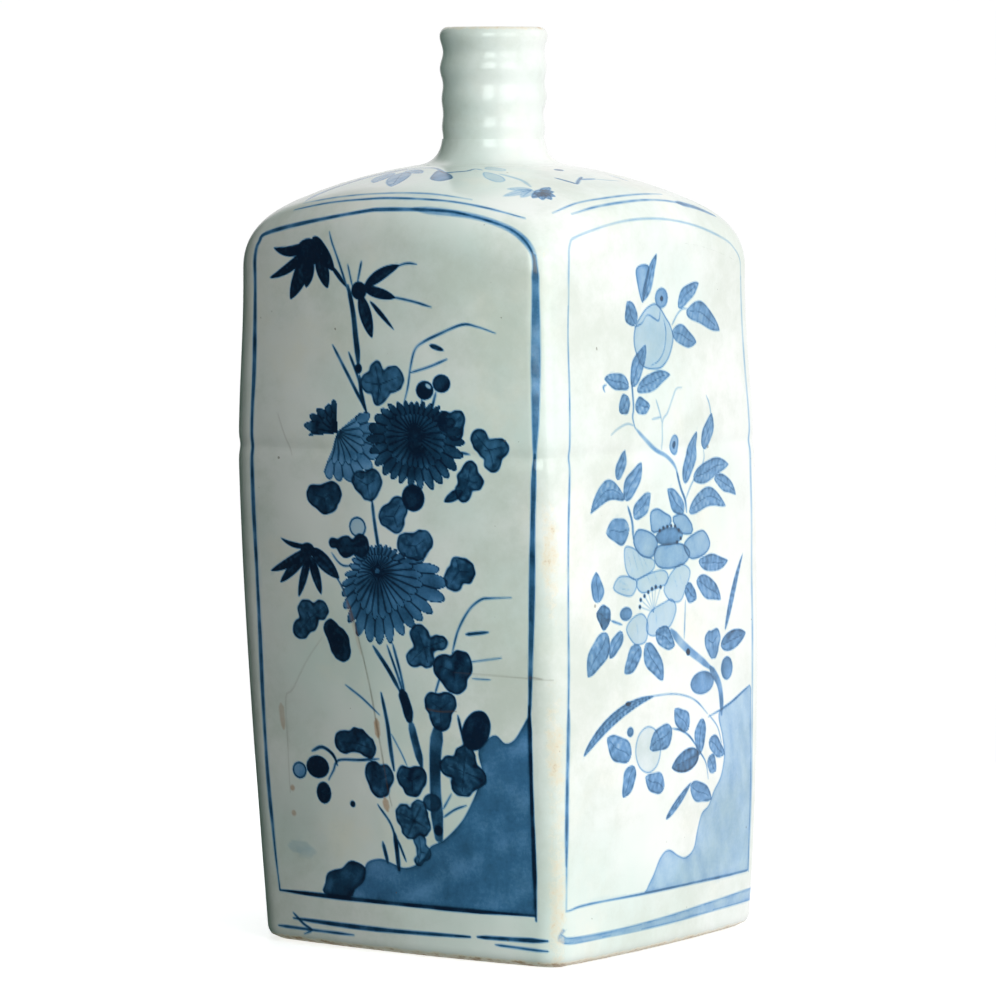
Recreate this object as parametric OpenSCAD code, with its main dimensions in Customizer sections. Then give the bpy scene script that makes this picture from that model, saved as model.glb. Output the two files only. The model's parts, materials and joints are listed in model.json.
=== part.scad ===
// Square sake bottle of glazed porcelain, built from clay slabs with a thrown neck.
// Z is up and the origin is on the surface it stands on, under the middle of the body.

/* [Body] */
// Height from the foot to the rim
total_h = 270; // [262:1:285]
// Half width of the body at the foot, at the middle of a side
foot_half = 56.3; // [55:0.1:57]
// Half width of the body at its widest level
belly_half = 60; // [59.5:0.1:61]
// Half width of the body just below the shoulder
top_half = 58.3; // [57.5:0.1:59]
// Level at which the body is widest
belly_h = 140; // [130:1:150]
// How much more the sides swell out low down
swell = 7.7; // [4:0.1:9]
// Angle that each side bulges through, from its middle to the start of a corner
bulge = 5.7; // [4:0.1:7]
// Outer radius of the upright corners
corner_r = 8.4; // [8:0.1:10]
// Thickness of the clay slabs
slab_t = 6.5; // [6:0.1:7]
// Radius that rounds off the bottom edge of the walls
foot_round = 4; // [3:0.1:4]
// Height of the hollow under the base
base_recess = 2.5; // [2:0.1:3]
// Level of the top of the base slab
base_top = 9; // [8.5:0.1:9.5]
// Level of the seam between the lower and the upper slabs
seam_h = 147; // [144:1:150]

/* [Lean] */
// Direction in which the body leans, measured from the X axis
lean_dir = 35; // [0:5:90]
// How far the foot lies off the middle
foot_shift = 2.9; // [0:0.1:3.5]
// How far the top of the walls lies off the middle
top_shift = -1.4; // [-2:0.1:0]
// How far the neck lies off the middle
neck_shift = -2.1; // [-3:0.1:0]

/* [Shoulder] */
// Height that the shoulder dome would reach at its centre
dome_apex = 230.9; // [229:0.1:232]
// Radius of the sphere that the shoulder follows
dome_r = 148.6; // [140:1:165]
// Length over which the dome rolls over into the walls
roll = 11.5; // [10:0.1:12]
// Radius of the flat seat cut for the neck
seat_r = 22; // [21:0.1:23]

/* [Neck] */
// Radius of the drinking bore
bore_r = 11; // [10:0.1:11.5]
// Radius of the neck where it leaves the collar
neck_foot_r = 15; // [14.9:0.1:15.5]
// Mean radius of the neck below the lip
neck_top_r = 15.5; // [15.2:0.1:16]
// Depth of the throwing rings near the lip
ring_depth = 0.35; // [0:0.05:0.5]
// Distance between two throwing rings
ring_pitch = 9.4; // [8:0.1:12]
// Radius of the spigot that passes through the shoulder
spigot_r = 13.9; // [13.5:0.1:14]
// How far the spigot reaches down from the seat
spigot_l = 6.8; // [6:0.1:8]
// Height of the slip collar round the foot of the neck
collar_h = 7.7; // [6:0.1:9]

/* [Coils] */
// How far the seam coil stands into the bottle at the belly
belly_coil_t = 3.2; // [2:0.1:4]
// How far the seam coil spreads over the base
base_coil_w = 6; // [4:0.1:7]

/* [Hidden] */
$fn = 96;

// Sides are counted anticlockwise from the front, seen from above
FRONT = 0;
RIGHT = 1;
BACK = 2;
LEFT = 3;

// Colours of the glazed and of the bare clay
glaze = "#eef2ef";
shade_glaze = "#dfe6e2";
bare_clay = "#e6dccb";

// Each side has face_steps steps from its middle to a corner's start, then corner_steps to the mitre
face_steps = 6;
corner_steps = 4;
mitre = face_steps + corner_steps;
// The corner coils meet the walls one step inside the corner's start
coil_edge = face_steps - 1;

straight_h = 196;
clear_slit = 0.1;
hole_r = spigot_r + clear_slit;
inner_roll = 7;
coil_reach = 8;
belly_low = seam_h - coil_reach;
belly_high = seam_h + coil_reach;
base_coil_h = 6;
lower_levels = [0, 0.6, 1.5, base_recess, foot_round, base_top, base_top + base_coil_h,
                25, 40, 60, 80, 100, 120, belly_low, seam_h];
upper_levels = [seam_h, belly_high, 165, 175, 186, straight_h];
coil_top_h = 186;

top_centre = [neck_shift * cos(lean_dir), neck_shift * sin(lean_dir)];
seat_z = dome(seat_r);
collar_z = seat_z + collar_h;
lip_r = (neck_top_r + ring_depth - bore_r) / 2;
lip_z = total_h - lip_r;

function ease(t) = t * t * (3 - 2 * t);

// Half width of the body at the middle of a side
function half_w(z) =
    z < belly_h
    ? let (t = z / belly_h)
      foot_half + (belly_half - foot_half) * ease(t) + swell * t * (1 - t) * (1 - t)
    : let (t = min(1, (z - belly_h) / (straight_h - belly_h)))
      belly_half + (top_half - belly_half) * ease(t);

function shift(z) =
    let (d = foot_shift + (top_shift - foot_shift) * ease(min(1, z / straight_h)))
    [d * cos(lean_dir), d * sin(lean_dir)];

// Direction that the surface faces at step i of a side, from straight out to the mitre
function step_angle(i) =
    abs(i) <= face_steps
    ? bulge * i / face_steps
    : sign(i) * (bulge + (45 - bulge) * (abs(i) - face_steps) / corner_steps);

// Outline of one side, x along it and y outward: a shallow arc that runs into a tight corner arc
function side_point(half, i, inset) =
    let (a = step_angle(i),
         corner = (half - corner_r) / (1 + tan(bulge / 2)),
         face_r = corner_r + corner / sin(bulge),
         face_y = corner - (face_r - corner_r) * cos(bulge))
    abs(i) <= face_steps
    ? [(face_r - inset) * sin(a), face_y + (face_r - inset) * cos(a)]
    : [sign(i) * corner + (corner_r - inset) * sin(a), corner + (corner_r - inset) * cos(a)];

function on_side(side, p) =
    [p[0] * cos(90 * side) + p[1] * sin(90 * side),
     p[0] * sin(90 * side) - p[1] * cos(90 * side)];

function foot_inset(z) =
    z < foot_round ? foot_round - sqrt(foot_round * foot_round - pow(foot_round - z, 2)) : 0;

// Plan position of the body's skin, inset by so much into the clay
function skin_xy(side, i, z, inset) = on_side(side, side_point(half_w(z), i, inset)) + shift(z);
function outer_point(side, i, z) = [each skin_xy(side, i, z, foot_inset(z)), z];
function inner_point(side, i, z) = [each skin_xy(side, i, z, slab_t), z];

function dome(r) = dome_apex - (dome_r - sqrt(dome_r * dome_r - r * r));
function from_axis(p) = norm([p[0], p[1]] - top_centre);

// Level at which the walls end and the shoulder slab begins, which rises towards each side's middle
function joint_z(side, i) = dome(from_axis(skin_xy(side, i, straight_h, 0))) - roll;

function bow(a, b, c, t) = (1 - t) * (1 - t) * a + 2 * t * (1 - t) * b + t * t * c;

// A slab between an outer and an inner grid of points, both given row by row from below
module slab(outer, inner) {
    rows = len(outer);
    cols = len(outer[0]);
    m = rows * cols;
    faces = [
        for (j = [0 : rows - 2], i = [0 : cols - 2])
            let (a = j * cols + i, b = a + 1, c = b + cols, d = a + cols)
            each [[a, d, c], [a, c, b], [a + m, c + m, d + m], [a + m, b + m, c + m]],
        for (i = [0 : cols - 2])
            let (a = i, b = i + 1, d = (rows - 1) * cols + i, c = d + 1)
            each [[a, b, b + m], [a, b + m, a + m], [c, d, d + m], [c, d + m, c + m]],
        for (j = [0 : rows - 2])
            let (a = j * cols, d = a + cols, b = a + cols - 1, c = b + cols)
            each [[d, a, a + m], [d, a + m, d + m], [b, c, c + m], [b, c + m, b + m]]
    ];
    polyhedron([for (row = outer) each row, for (row = inner) each row], faces);
}

// A closed ring: one closed section for each step round the bottle
module ring(sections) {
    steps = len(sections);
    pts = len(sections[0]);
    faces = [
        for (i = [0 : steps - 1], j = [0 : pts - 1])
            let (i2 = (i + 1) % steps, j2 = (j + 1) % pts,
                 a = i * pts + j, b = i2 * pts + j, c = i2 * pts + j2, d = i * pts + j2)
            each [[a, d, c], [a, c, b]]
    ];
    polyhedron([for (s = sections) each s], faces);
}

// A post of stacked outlines with flat ends, fanned from one point; the side that faces
// into the bottle, from outline point "turned" on, has its triangles cut the other way
module post(outlines, fan, turned) {
    rows = len(outlines);
    pts = len(outlines[0]);
    top = (rows - 1) * pts;
    faces = [
        for (j = [0 : rows - 2], i = [0 : pts - 1])
            let (i2 = (i + 1) % pts,
                 a = j * pts + i, b = j * pts + i2, c = b + pts, d = a + pts)
            each i < turned ? [[a, d, c], [a, c, b]] : [[a, d, b], [b, d, c]],
        for (k = [1 : pts - 2])
            let (p = (fan + k) % pts, q = (fan + k + 1) % pts)
            each [[fan, p, q], [top + fan, top + q, top + p]]
    ];
    polyhedron([for (o = outlines) each o], faces);
}

module lower_wall(side) {
    color(side % 2 == 0 ? glaze : shade_glaze)
    slab([for (z = lower_levels) [for (i = [-mitre : mitre]) outer_point(side, i, z)]],
         [for (z = lower_levels) [for (i = [-mitre : mitre]) inner_point(side, i, z)]]);
}

module upper_wall(side) {
    outer_rim = [for (i = [-mitre : mitre])
        [each skin_xy(side, i, straight_h, 0), joint_z(side, i)]];
    inner_rim = [for (i = [-mitre : mitre])
        [each skin_xy(side, i, straight_h, slab_t), joint_z(side, i)]];
    color(side % 2 == 0 ? glaze : shade_glaze)
    slab([for (z = upper_levels) [for (i = [-mitre : mitre]) outer_point(side, i, z)], outer_rim],
         [for (z = upper_levels) [for (i = [-mitre : mitre]) inner_point(side, i, z)], inner_rim]);
}

module base_slab() {
    color(bare_clay)
    post([for (z = [base_recess, foot_round, base_top])
             [for (side = [FRONT : LEFT], i = [-mitre : mitre - 1]) inner_point(side, i, z)]],
         0, 8 * mitre);
}

// One section of the shoulder: up the outside from the wall joint, over the roll and the dome
// to the seat, and back down the inside
function shoulder_section(side, i) =
    let (outer_xy = skin_xy(side, i, straight_h, 0),
         inner_xy = skin_xy(side, i, straight_h, slab_t),
         joint = joint_z(side, i),
         r = from_axis(outer_xy),
         r_in = from_axis(inner_xy),
         out = (outer_xy - top_centre) / r,
         inward = (inner_xy - top_centre) / r_in,
         dome_start = r - roll,
         in_start = r_in - inner_roll,
         throat = bore_r - 1)
    [
        for (t = [0 : 1 / 7 : 1.001])
            [each top_centre + out * bow(r, r, dome_start, t),
             bow(joint, dome(r), dome(dome_start), t)],
        for (k = [1 : 5])
            let (q = dome_start + (seat_r - dome_start) * k / 5)
            [each top_centre + out * q, dome(q)],
        [each top_centre + out * throat, seat_z],
        [each top_centre + inward * throat, dome(throat) - slab_t],
        for (k = [0 : 4])
            let (q = seat_r + (in_start - seat_r) * k / 4)
            [each top_centre + inward * q, dome(q) - slab_t],
        for (t = [1 / 5 : 1 / 5 : 1.001])
            [each top_centre + inward * bow(in_start, r_in, r_in, t),
             bow(dome(in_start) - slab_t, dome(r_in) - slab_t, joint, t)]
    ];

module shoulder_slab() {
    color(glaze)
    difference() {
        ring([for (side = [FRONT : LEFT], i = [-mitre : mitre - 1]) shoulder_section(side, i)]);
        translate([each top_centre, seat_z - 2 * slab_t]) cylinder(r = hole_r, h = 3 * slab_t);
    }
}

// Outer radius of the neck, with throwing rings that fade towards its foot
function neck_r(z) =
    let (t = (z - collar_z) / (lip_z - collar_z))
    neck_foot_r + (neck_top_r - neck_foot_r) * min(1, 1.6 * t)
    + ring_depth * t * cos(360 * (lip_z - z) / ring_pitch);

module neck() {
    rise = lip_z - collar_z;
    color(glaze)
    translate(top_centre)
    rotate_extrude()
    polygon([
        [bore_r, seat_z - spigot_l],
        [spigot_r, seat_z - spigot_l],
        [spigot_r, seat_z],
        [neck_foot_r, seat_z],
        for (t = [0 : 1 / 28 : 0.999]) [neck_r(collar_z + rise * t), collar_z + rise * t],
        for (a = [0 : 15 : 180]) [bore_r + lip_r + lip_r * cos(a), lip_z + lip_r * sin(a)]
    ]);
}

module neck_collar() {
    color(shade_glaze)
    translate(top_centre)
    rotate_extrude()
    polygon([
        [neck_foot_r, seat_z],
        for (t = [0 : 1 / 8 : 1.001])
            [bow(seat_r, neck_foot_r + 0.9, neck_foot_r + 0.3, t),
             bow(seat_z, seat_z + 1.2, collar_z, t)],
        [neck_foot_r, collar_z]
    ]);
}

// Inside face of a corner coil, an even hollow from one wall to the next
function coil_face(side, z, t) =
    [each bow(skin_xy(side, coil_edge, z, slab_t), skin_xy(side, mitre, z, slab_t),
              skin_xy(side + 1, -coil_edge, z, slab_t), t), z];

module corner_coil(side, levels) {
    color(bare_clay)
    post([for (z = levels) [
             for (i = [coil_edge : mitre]) inner_point(side, i, z),
             for (i = [-mitre + 1 : -coil_edge]) inner_point(side + 1, i, z),
             for (t = [3 / 4, 1 / 2, 1 / 4]) coil_face(side, z, t)]],
         mitre - coil_edge, 2 * (mitre - coil_edge));
}

module lower_coil(side) {
    corner_coil(side, [for (z = lower_levels) if (z >= base_top) z]);
}

module upper_coil(side) {
    corner_coil(side, [for (z = upper_levels) if (z <= coil_top_h) z]);
}

// Inside outline of the walls with their corner coils
function inside_outline(z) = [
    for (side = [FRONT : LEFT]) each [
        for (i = [-coil_edge : coil_edge]) inner_point(side, i, z),
        for (t = [1 / 4, 1 / 2, 3 / 4]) coil_face(side, z, t)]
];

function into_bottle(p, z, d) =
    let (xy = [p[0], p[1]], c = shift(p[2]))
    [each c + (xy - c) * (1 - d / norm(xy - c)), z];

module belly_seam_coil() {
    low = inside_outline(belly_low);
    mid = inside_outline(seam_h);
    high = inside_outline(belly_high);
    color(bare_clay)
    ring([for (k = [0 : len(mid) - 1]) [
        low[k], mid[k], high[k],
        into_bottle(mid[k], seam_h + coil_reach / 2, 0.8 * belly_coil_t),
        into_bottle(mid[k], seam_h, belly_coil_t),
        into_bottle(mid[k], seam_h - coil_reach / 2, 0.8 * belly_coil_t)]]);
}

module base_seam_coil() {
    low = inside_outline(base_top);
    high = inside_outline(base_top + base_coil_h);
    color(bare_clay)
    ring([for (k = [0 : len(low) - 1]) [
        low[k], high[k],
        into_bottle(low[k], base_top + base_coil_h / 3, base_coil_w / 3),
        into_bottle(low[k], base_top, base_coil_w)]]);
}

lower_wall(FRONT);  // front_lower_wall
lower_wall(RIGHT);  // right_lower_wall
lower_wall(BACK);  // back_lower_wall
lower_wall(LEFT);  // left_lower_wall
upper_wall(FRONT);  // front_upper_wall
upper_wall(RIGHT);  // right_upper_wall
upper_wall(BACK);  // back_upper_wall
upper_wall(LEFT);  // left_upper_wall
base_slab();
shoulder_slab();
neck();
neck_collar();
lower_coil(FRONT);  // front_right_lower_coil
lower_coil(RIGHT);  // back_right_lower_coil
lower_coil(BACK);  // back_left_lower_coil
lower_coil(LEFT);  // front_left_lower_coil
upper_coil(FRONT);  // front_right_upper_coil
upper_coil(RIGHT);  // back_right_upper_coil
upper_coil(BACK);  // back_left_upper_coil
upper_coil(LEFT);  // front_left_upper_coil
belly_seam_coil();
base_seam_coil();
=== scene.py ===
"""A square sake bottle of blue-painted porcelain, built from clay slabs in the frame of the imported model.

The form and the painting are worked out in millimetres. A point of a side is given by its run, the
distance along the skin from the middle of that side, and its rise, the height up the wall and then
the distance on over the shoulder. Meshes are in metres.
"""
import json
import logging
import math
from collections.abc import Callable, Sequence
from dataclasses import dataclass, field
from enum import Enum, IntEnum

import bpy
import numpy as np
from bpy.types import Material, Mesh, Object
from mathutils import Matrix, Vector


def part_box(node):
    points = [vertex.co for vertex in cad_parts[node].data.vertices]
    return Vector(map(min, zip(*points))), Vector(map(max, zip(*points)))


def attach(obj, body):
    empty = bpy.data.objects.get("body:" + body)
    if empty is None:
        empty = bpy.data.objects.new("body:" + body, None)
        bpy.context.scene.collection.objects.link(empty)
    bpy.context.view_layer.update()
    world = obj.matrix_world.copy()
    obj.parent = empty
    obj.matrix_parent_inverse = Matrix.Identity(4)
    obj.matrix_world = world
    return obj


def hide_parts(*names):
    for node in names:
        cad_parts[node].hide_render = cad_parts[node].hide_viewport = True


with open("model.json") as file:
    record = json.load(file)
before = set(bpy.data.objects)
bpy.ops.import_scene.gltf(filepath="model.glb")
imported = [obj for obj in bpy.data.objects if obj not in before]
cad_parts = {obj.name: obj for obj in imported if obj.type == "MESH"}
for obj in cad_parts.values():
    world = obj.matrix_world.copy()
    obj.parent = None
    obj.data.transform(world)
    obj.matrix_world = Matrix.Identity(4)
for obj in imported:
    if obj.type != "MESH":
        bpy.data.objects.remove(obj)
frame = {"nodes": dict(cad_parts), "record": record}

LOG = logging.getLogger("sake_bottle")
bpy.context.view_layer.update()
MM = 0.001
BODY = "root"
COAT = ("cobalt", "crack", "stain", "wear")
FACING = 0.9  # A face counts as facing a way if its normal reaches this far along it.
FAR = 9.0  # Distance in mm from which a line no longer counts as near.

Array = np.ndarray
Two = tuple[float, float]
Three = tuple[float, float, float]
Four = tuple[float, float, float, float]
Points = Sequence[Two]
Top = Callable[[Points], Points]  # Turns run and share of the shoulder's roll into run and rise.


class Side(IntEnum):
    """The four sides, anticlockwise from the front as seen from above."""

    FRONT = 0
    RIGHT = 1
    BACK = 2
    LEFT = 3


class Slot(Enum):
    """Finish slots of the record."""

    PAINTED = "painted_glaze"
    PLAIN = "plain_glaze"
    BARE = "bare_clay"


class Span(IntEnum):
    """How many half-sides a slab is long."""

    ONE_SIDE = 2
    ALL_ROUND = 8


def ease(t: Array | float) -> Array | float:
    """Smooth step from 0 to 1 as t goes from 0 to 1."""
    return t * t * (3 - 2 * t)


def soft_step(depth: Array, soft: float) -> Array:
    """Coverage of a soft edge.

    Args:
        depth: Distance inside the edge, negative outside it.
        soft: Half the width of the soft edge.

    Returns:
        0 outside, 1 inside.
    """
    return ease(np.clip(depth / (2 * soft) + 0.5, 0, 1))


def bow(a: Array, b: Array, c: Array, t: Array) -> Array:
    """Quadratic curve from a to c that is pulled towards b."""
    return (1 - t) ** 2 * a + 2 * t * (1 - t) * b + t * t * c


def ripple(x: Array, y: Array, pitch: float, seed: int) -> Array:
    """Gentle uneven waves over a surface.

    Args:
        x: First coordinate.
        y: Second coordinate.
        pitch: Rough distance between two crests.
        seed: Number that sets the pattern.

    Returns:
        Values around 0, mostly within -1 and 1.
    """
    waves, swing = 5, 3
    rng = np.random.default_rng(seed)
    total = np.zeros(np.shape(x))
    for _ in range(waves):
        turn, phase = rng.uniform(0, math.tau, 2)
        rate = math.tau / pitch * rng.uniform(0.6, 1.5)
        total += np.sin(rate * (x * math.cos(turn) + y * math.sin(turn)) + phase)
    return total / swing


@dataclass(frozen=True)
class BottleForm:
    """The bottle's skin: bulging sides, rounded corners, domed shoulder and lean. Sizes in mm.

    Args:
        neck_axis: Plan position of the neck and of the dome's centre.
        seam: Level of the belly seam.
        seat: Level of the flat seat under the neck.
        straight_level: Level from which the plan stays the same.
        bulge: Half the angle that each side's curve turns through.
        wave_gap: How far apart the sides lie in the pattern of the waves.
        wave_fades: Heights below the joint and above the foot over which the waves fade away.
    """

    neck_axis: Two
    seam: float
    seat: float
    foot_half: float = 56.3
    belly_half: float = 60.0
    top_half: float = 58.3
    belly_level: float = 140.0
    straight_level: float = 196.0
    swell: float = 7.7
    bulge: float = math.radians(5.7)
    corner_r: float = 8.4
    slab_t: float = 6.5
    foot_round: float = 4.0
    lean_dir: float = math.radians(35)
    foot_shift: float = 2.9
    top_shift: float = -1.4
    dome_apex: float = 230.9
    dome_r: float = 148.6
    roll: float = 11.5
    roll_run: float = 20.0
    inner_roll: float = 7.0
    seat_r: float = 22.0
    hole_r: float = 14.0
    seam_dip: float = 0.45
    seam_half: float = 2.2
    unevenness: float = 0.16
    wave_pitch: float = 38
    wave_seed: int = 7
    wave_run: float = 50
    wave_gap: float = 130
    wave_fades: Two = (20, 15)

    def half_width(self, z: Array) -> Array:
        """Half width of the body at the middle of a side, at level z."""
        low = z / self.belly_level
        high = np.clip((z - self.belly_level) / (self.straight_level - self.belly_level), 0, 1)
        lower = (self.foot_half + (self.belly_half - self.foot_half) * ease(low)
                 + self.swell * low * (1 - low) ** 2)
        upper = self.belly_half + (self.top_half - self.belly_half) * ease(high)
        return np.where(z < self.belly_level, lower, upper)

    def lean(self, z: Array) -> Array:
        """How far the body's middle lies off the Z axis at level z."""
        t = np.clip(z / self.straight_level, 0, 1)
        off = self.foot_shift + (self.top_shift - self.foot_shift) * ease(t)
        return np.stack([off * math.cos(self.lean_dir), off * math.sin(self.lean_dir)], -1)

    def side_run(self, z: Array) -> tuple[Array, Array, Array]:
        """Corner position, side radius and half length of a side's skin at level z."""
        corner = (self.half_width(z) - self.corner_r) / (1 + math.tan(self.bulge / 2))
        side_r = self.corner_r + corner / math.sin(self.bulge)
        turn = self.corner_r * (math.pi / 4 - self.bulge)
        return corner, side_r, side_r * self.bulge + turn

    def plan(self, side: int, t: Array, z: Array, inset: Array) -> Array:
        """Plan position on a side.

        Args:
            side: Which side.
            t: Position along it, -1 and 1 at its mitres.
            z: Level.
            inset: Depth into the clay.

        Returns:
            Positions, with x and y last.
        """
        corner, side_r, half_run = self.side_run(z)
        run = np.abs(t) * half_run
        flat = run <= side_r * self.bulge
        angle = np.where(flat, run / side_r, self.bulge + (run - side_r * self.bulge) / self.corner_r)
        radius = np.where(flat, side_r, self.corner_r) - inset
        along = np.where(flat, 0, corner) + radius * np.sin(angle)
        side_y = corner - (side_r - self.corner_r) * math.cos(self.bulge)
        out = np.where(flat, side_y, corner) + radius * np.cos(angle)
        along = along * np.sign(t)
        c, s = round(math.cos(math.pi / 2 * side)), round(math.sin(math.pi / 2 * side))
        return np.stack([along * c + out * s, along * s - out * c], -1) + self.lean(z)

    def dome(self, r: Array) -> Array:
        """Level of the shoulder dome at a distance from its centre."""
        return self.dome_apex - (self.dome_r - np.sqrt(self.dome_r**2 - r * r))

    def joint(self, side: int, t: Array) -> Array:
        """Level at which the wall ends and the shoulder slab begins."""
        level = np.full(np.shape(t), self.straight_level)
        spoke = self.plan(side, t, level, np.zeros(np.shape(t))) - np.array(self.neck_axis)
        return self.dome(np.linalg.norm(spoke, axis=-1)) - self.roll

    def wall(self, side: int, t: Array, z: Array, depth: Array) -> Array:
        """Points of a wall slab, from its skin at depth 0 to its inner face at depth 1."""
        under = np.clip(self.foot_round - z, 0, self.foot_round)
        rounding = self.foot_round - np.sqrt(self.foot_round**2 - under**2)
        gap = (z - self.seam) / self.seam_half
        dip = self.seam_dip * np.exp(-gap * gap)
        level = np.minimum(z, self.straight_level)
        along = t * self.wave_run + self.wave_gap * side
        waves = self.unevenness * (1 + ripple(along, z, self.wave_pitch, self.wave_seed))
        fade = (np.clip((1 - np.abs(t)) * 4, 0, 1)
                * np.clip((self.joint(side, t) - z) / self.wave_fades[0], 0, 1))
        fade = fade * np.clip(z / self.wave_fades[1], 0, 1)
        skin = rounding + dip + waves * fade
        inset = skin + (self.slab_t - skin) * depth
        return np.concatenate([self.plan(side, t, level, inset), z[..., None]], -1)

    def shoulder(self, side: int, t: Array, way: Array, depth: Array) -> Array:
        """Points of the shoulder slab.

        Args:
            side: Which side.
            t: Position along it.
            way: 0 at the wall joint, 1 at the edge of the hole.
            depth: 0 on the skin, 1 on the inner face.

        Returns:
            Positions, with x, y and z last.
        """
        level = np.full(np.shape(t), self.straight_level)
        foot = self.joint(side, t)
        rim = self.plan(side, t, level, self.slab_t * depth) - np.array(self.neck_axis)
        r = np.linalg.norm(rim, axis=-1)
        drop = self.slab_t * depth
        roll = self.roll + (self.inner_roll - self.roll) * depth
        start = r - roll
        rolled, domed = self.way_parts(r)
        u = np.clip(way / rolled, 0, 1)
        f = np.clip((way - rolled) / domed, 0, 1)
        g = np.clip((way - rolled - domed) / (1 - rolled - domed), 0, 1)
        top_r = start + (self.seat_r - start) * f + (self.hole_r - self.seat_r) * g
        seat_drop = np.where(g > 0, np.maximum(self.dome(top_r) - self.seat, 0) * (1 - depth), 0)
        radius = np.where(u < 1, bow(r, r, start, u), top_r)
        height = np.where(u < 1, bow(foot, self.dome(r) - drop, self.dome(start) - drop, u),
                          self.dome(top_r) - drop - seat_drop)
        plan = np.array(self.neck_axis) + rim / r[..., None] * radius[..., None]
        return np.concatenate([plan, height[..., None]], -1)

    def way_parts(self, r: Array) -> tuple[Array, Array]:
        """Shares of the way up the shoulder that roll over and that follow the dome."""
        dome_run = (r - self.roll - self.seat_r) * 1.05
        whole = self.roll_run + dome_run + self.seat_r - self.hole_r
        return self.roll_run / whole, dome_run / whole

    def shoulder_run(self, side: int, t: Array) -> Array:
        """Length of the way over the shoulder, from the wall joint to the hole."""
        level = np.full(np.shape(t), self.straight_level)
        spoke = self.plan(side, t, level, np.zeros(np.shape(t))) - np.array(self.neck_axis)
        rolled, _ = self.way_parts(np.linalg.norm(spoke, axis=-1))
        return self.roll_run / rolled


def smooth_path(points: Points, closed: bool = False, step: float = 0.9) -> Array:
    """Draws an even curve through given points.

    Args:
        points: Positions in mm.
        closed: Whether the curve returns to its first point.
        step: Rough distance between the points of the result.

    Returns:
        The curve's points, one row each.
    """
    p = np.array(points, float)
    if closed:
        p = np.concatenate([p[-1:], p, p[:2]])
    else:
        p = np.concatenate([2 * p[:1] - p[1:2], p, 2 * p[-1:] - p[-2:-1]])
    rows = []
    for a, b, c, d in zip(p[:-3], p[1:-2], p[2:-1], p[3:]):
        count = max(2, int(np.linalg.norm(c - b) / step))
        t = np.arange(count)[:, None] / count
        rows.append(0.5 * (2 * b + (c - a) * t + (2 * a - 5 * b + 4 * c - d) * t**2
                           + (3 * b - a - 3 * c + d) * t**3))
    rows.append(p[-2:-1])
    return np.concatenate(rows)


def line_gap(x: Array, y: Array, path: Array, half: Array) -> Array:
    """Distance to a line's edge, negative inside it.

    Args:
        x: Runs of the points asked about.
        y: Rises of the points asked about.
        path: The line's own points.
        half: Half the line's width at each of them.

    Returns:
        The distances in mm, or FAR where the line isn't near.
    """
    best = np.full(x.shape, FAR)
    for a, b, wa, wb in zip(path[:-1], path[1:], half[:-1], half[1:]):
        pad = max(wa, wb) + 1
        near = ((x > min(a[0], b[0]) - pad) & (x < max(a[0], b[0]) + pad)
                & (y > min(a[1], b[1]) - pad) & (y < max(a[1], b[1]) + pad))
        if not near.any():
            continue
        xn, yn = x[near] - a[0], y[near] - a[1]
        dx, dy = b - a
        u = np.clip((xn * dx + yn * dy) / max(dx * dx + dy * dy, 1e-9), 0, 1)
        gap = np.hypot(xn - u * dx, yn - u * dy) - (wa + (wb - wa) * u)
        best[near] = np.minimum(best[near], gap)
    return best


def reach_of(points: Array, pad: float) -> Four:
    """Lowest run and rise, then highest run and rise, of points with a margin."""
    return (*(points.min(axis=0) - pad), *(points.max(axis=0) + pad))


@dataclass(frozen=True)
class Stroke:
    """A brush line.

    Args:
        path: Points of its middle, from where the brush goes down.
        half: Half its width at each point.
        tone: Strength of the pigment, from 0 to 1.
        seed: Number that sets how the pigment runs.
        edge: Half the width of its soft edge.
    """

    path: Array
    half: Array
    tone: float
    seed: int
    edge: float = 0.3

    def reach(self) -> Four:
        """What the line touches."""
        return reach_of(self.path, float(self.half.max()) + self.edge)

    def lay(self, x: Array, y: Array) -> Array:
        """Strength of the pigment at points."""
        gap = line_gap(x, y, self.path, self.half)
        load = 1 + 0.16 * ripple(x, y, 9, self.seed)
        return np.clip(self.tone * load, 0, 1) * soft_step(-gap, self.edge)


@dataclass(frozen=True)
class Patch:
    """A brushed shape with a darker rim.

    Args:
        path: Its closed outline.
        tone: Strength of the wash.
        rim: Strength of the drawn outline.
        seed: Number that sets how the pigment runs.
        streak: Strength of the brush streaks in the wash.
        edge: Half the width of its soft edge.
        pool: How much darker the wash is at its edge, where it dries last.
    """

    path: Array
    tone: float
    rim: float
    seed: int
    streak: float = 0.12
    edge: float = 0.3
    rim_half: float = 0.2
    pool: float = 0.18
    pool_width: float = 0.9

    def reach(self) -> Four:
        """What the shape touches."""
        return reach_of(self.path, 0.5)

    def inside(self, x: Array, y: Array) -> Array:
        """Whether each point lies in the outline."""
        within = np.zeros(x.shape, bool)
        for a, b in zip(self.path[:-1], self.path[1:]):
            if a[1] == b[1]:
                continue
            crosses = (a[1] > y) != (b[1] > y)
            within ^= crosses & (x < a[0] + (y - a[1]) * (b[0] - a[0]) / (b[1] - a[1]))
        return within

    def lay(self, x: Array, y: Array) -> Array:
        """Strength of the pigment at points."""
        gap = line_gap(x, y, self.path, np.zeros(len(self.path)))
        depth = np.where(self.inside(x, y), gap, -gap)
        wash = self.tone * (1 + self.streak * ripple(x, y * 0.7, 7, self.seed))
        wash = wash * (1 + self.pool * np.exp(-np.clip(depth, 0, FAR) / self.pool_width))
        fill = np.clip(wash, 0, 1) * soft_step(depth, self.edge)
        line = self.rim * soft_step(self.rim_half - np.abs(depth - 0.1), self.edge)
        return 1 - (1 - fill) * (1 - np.clip(line, 0, 1))


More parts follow.
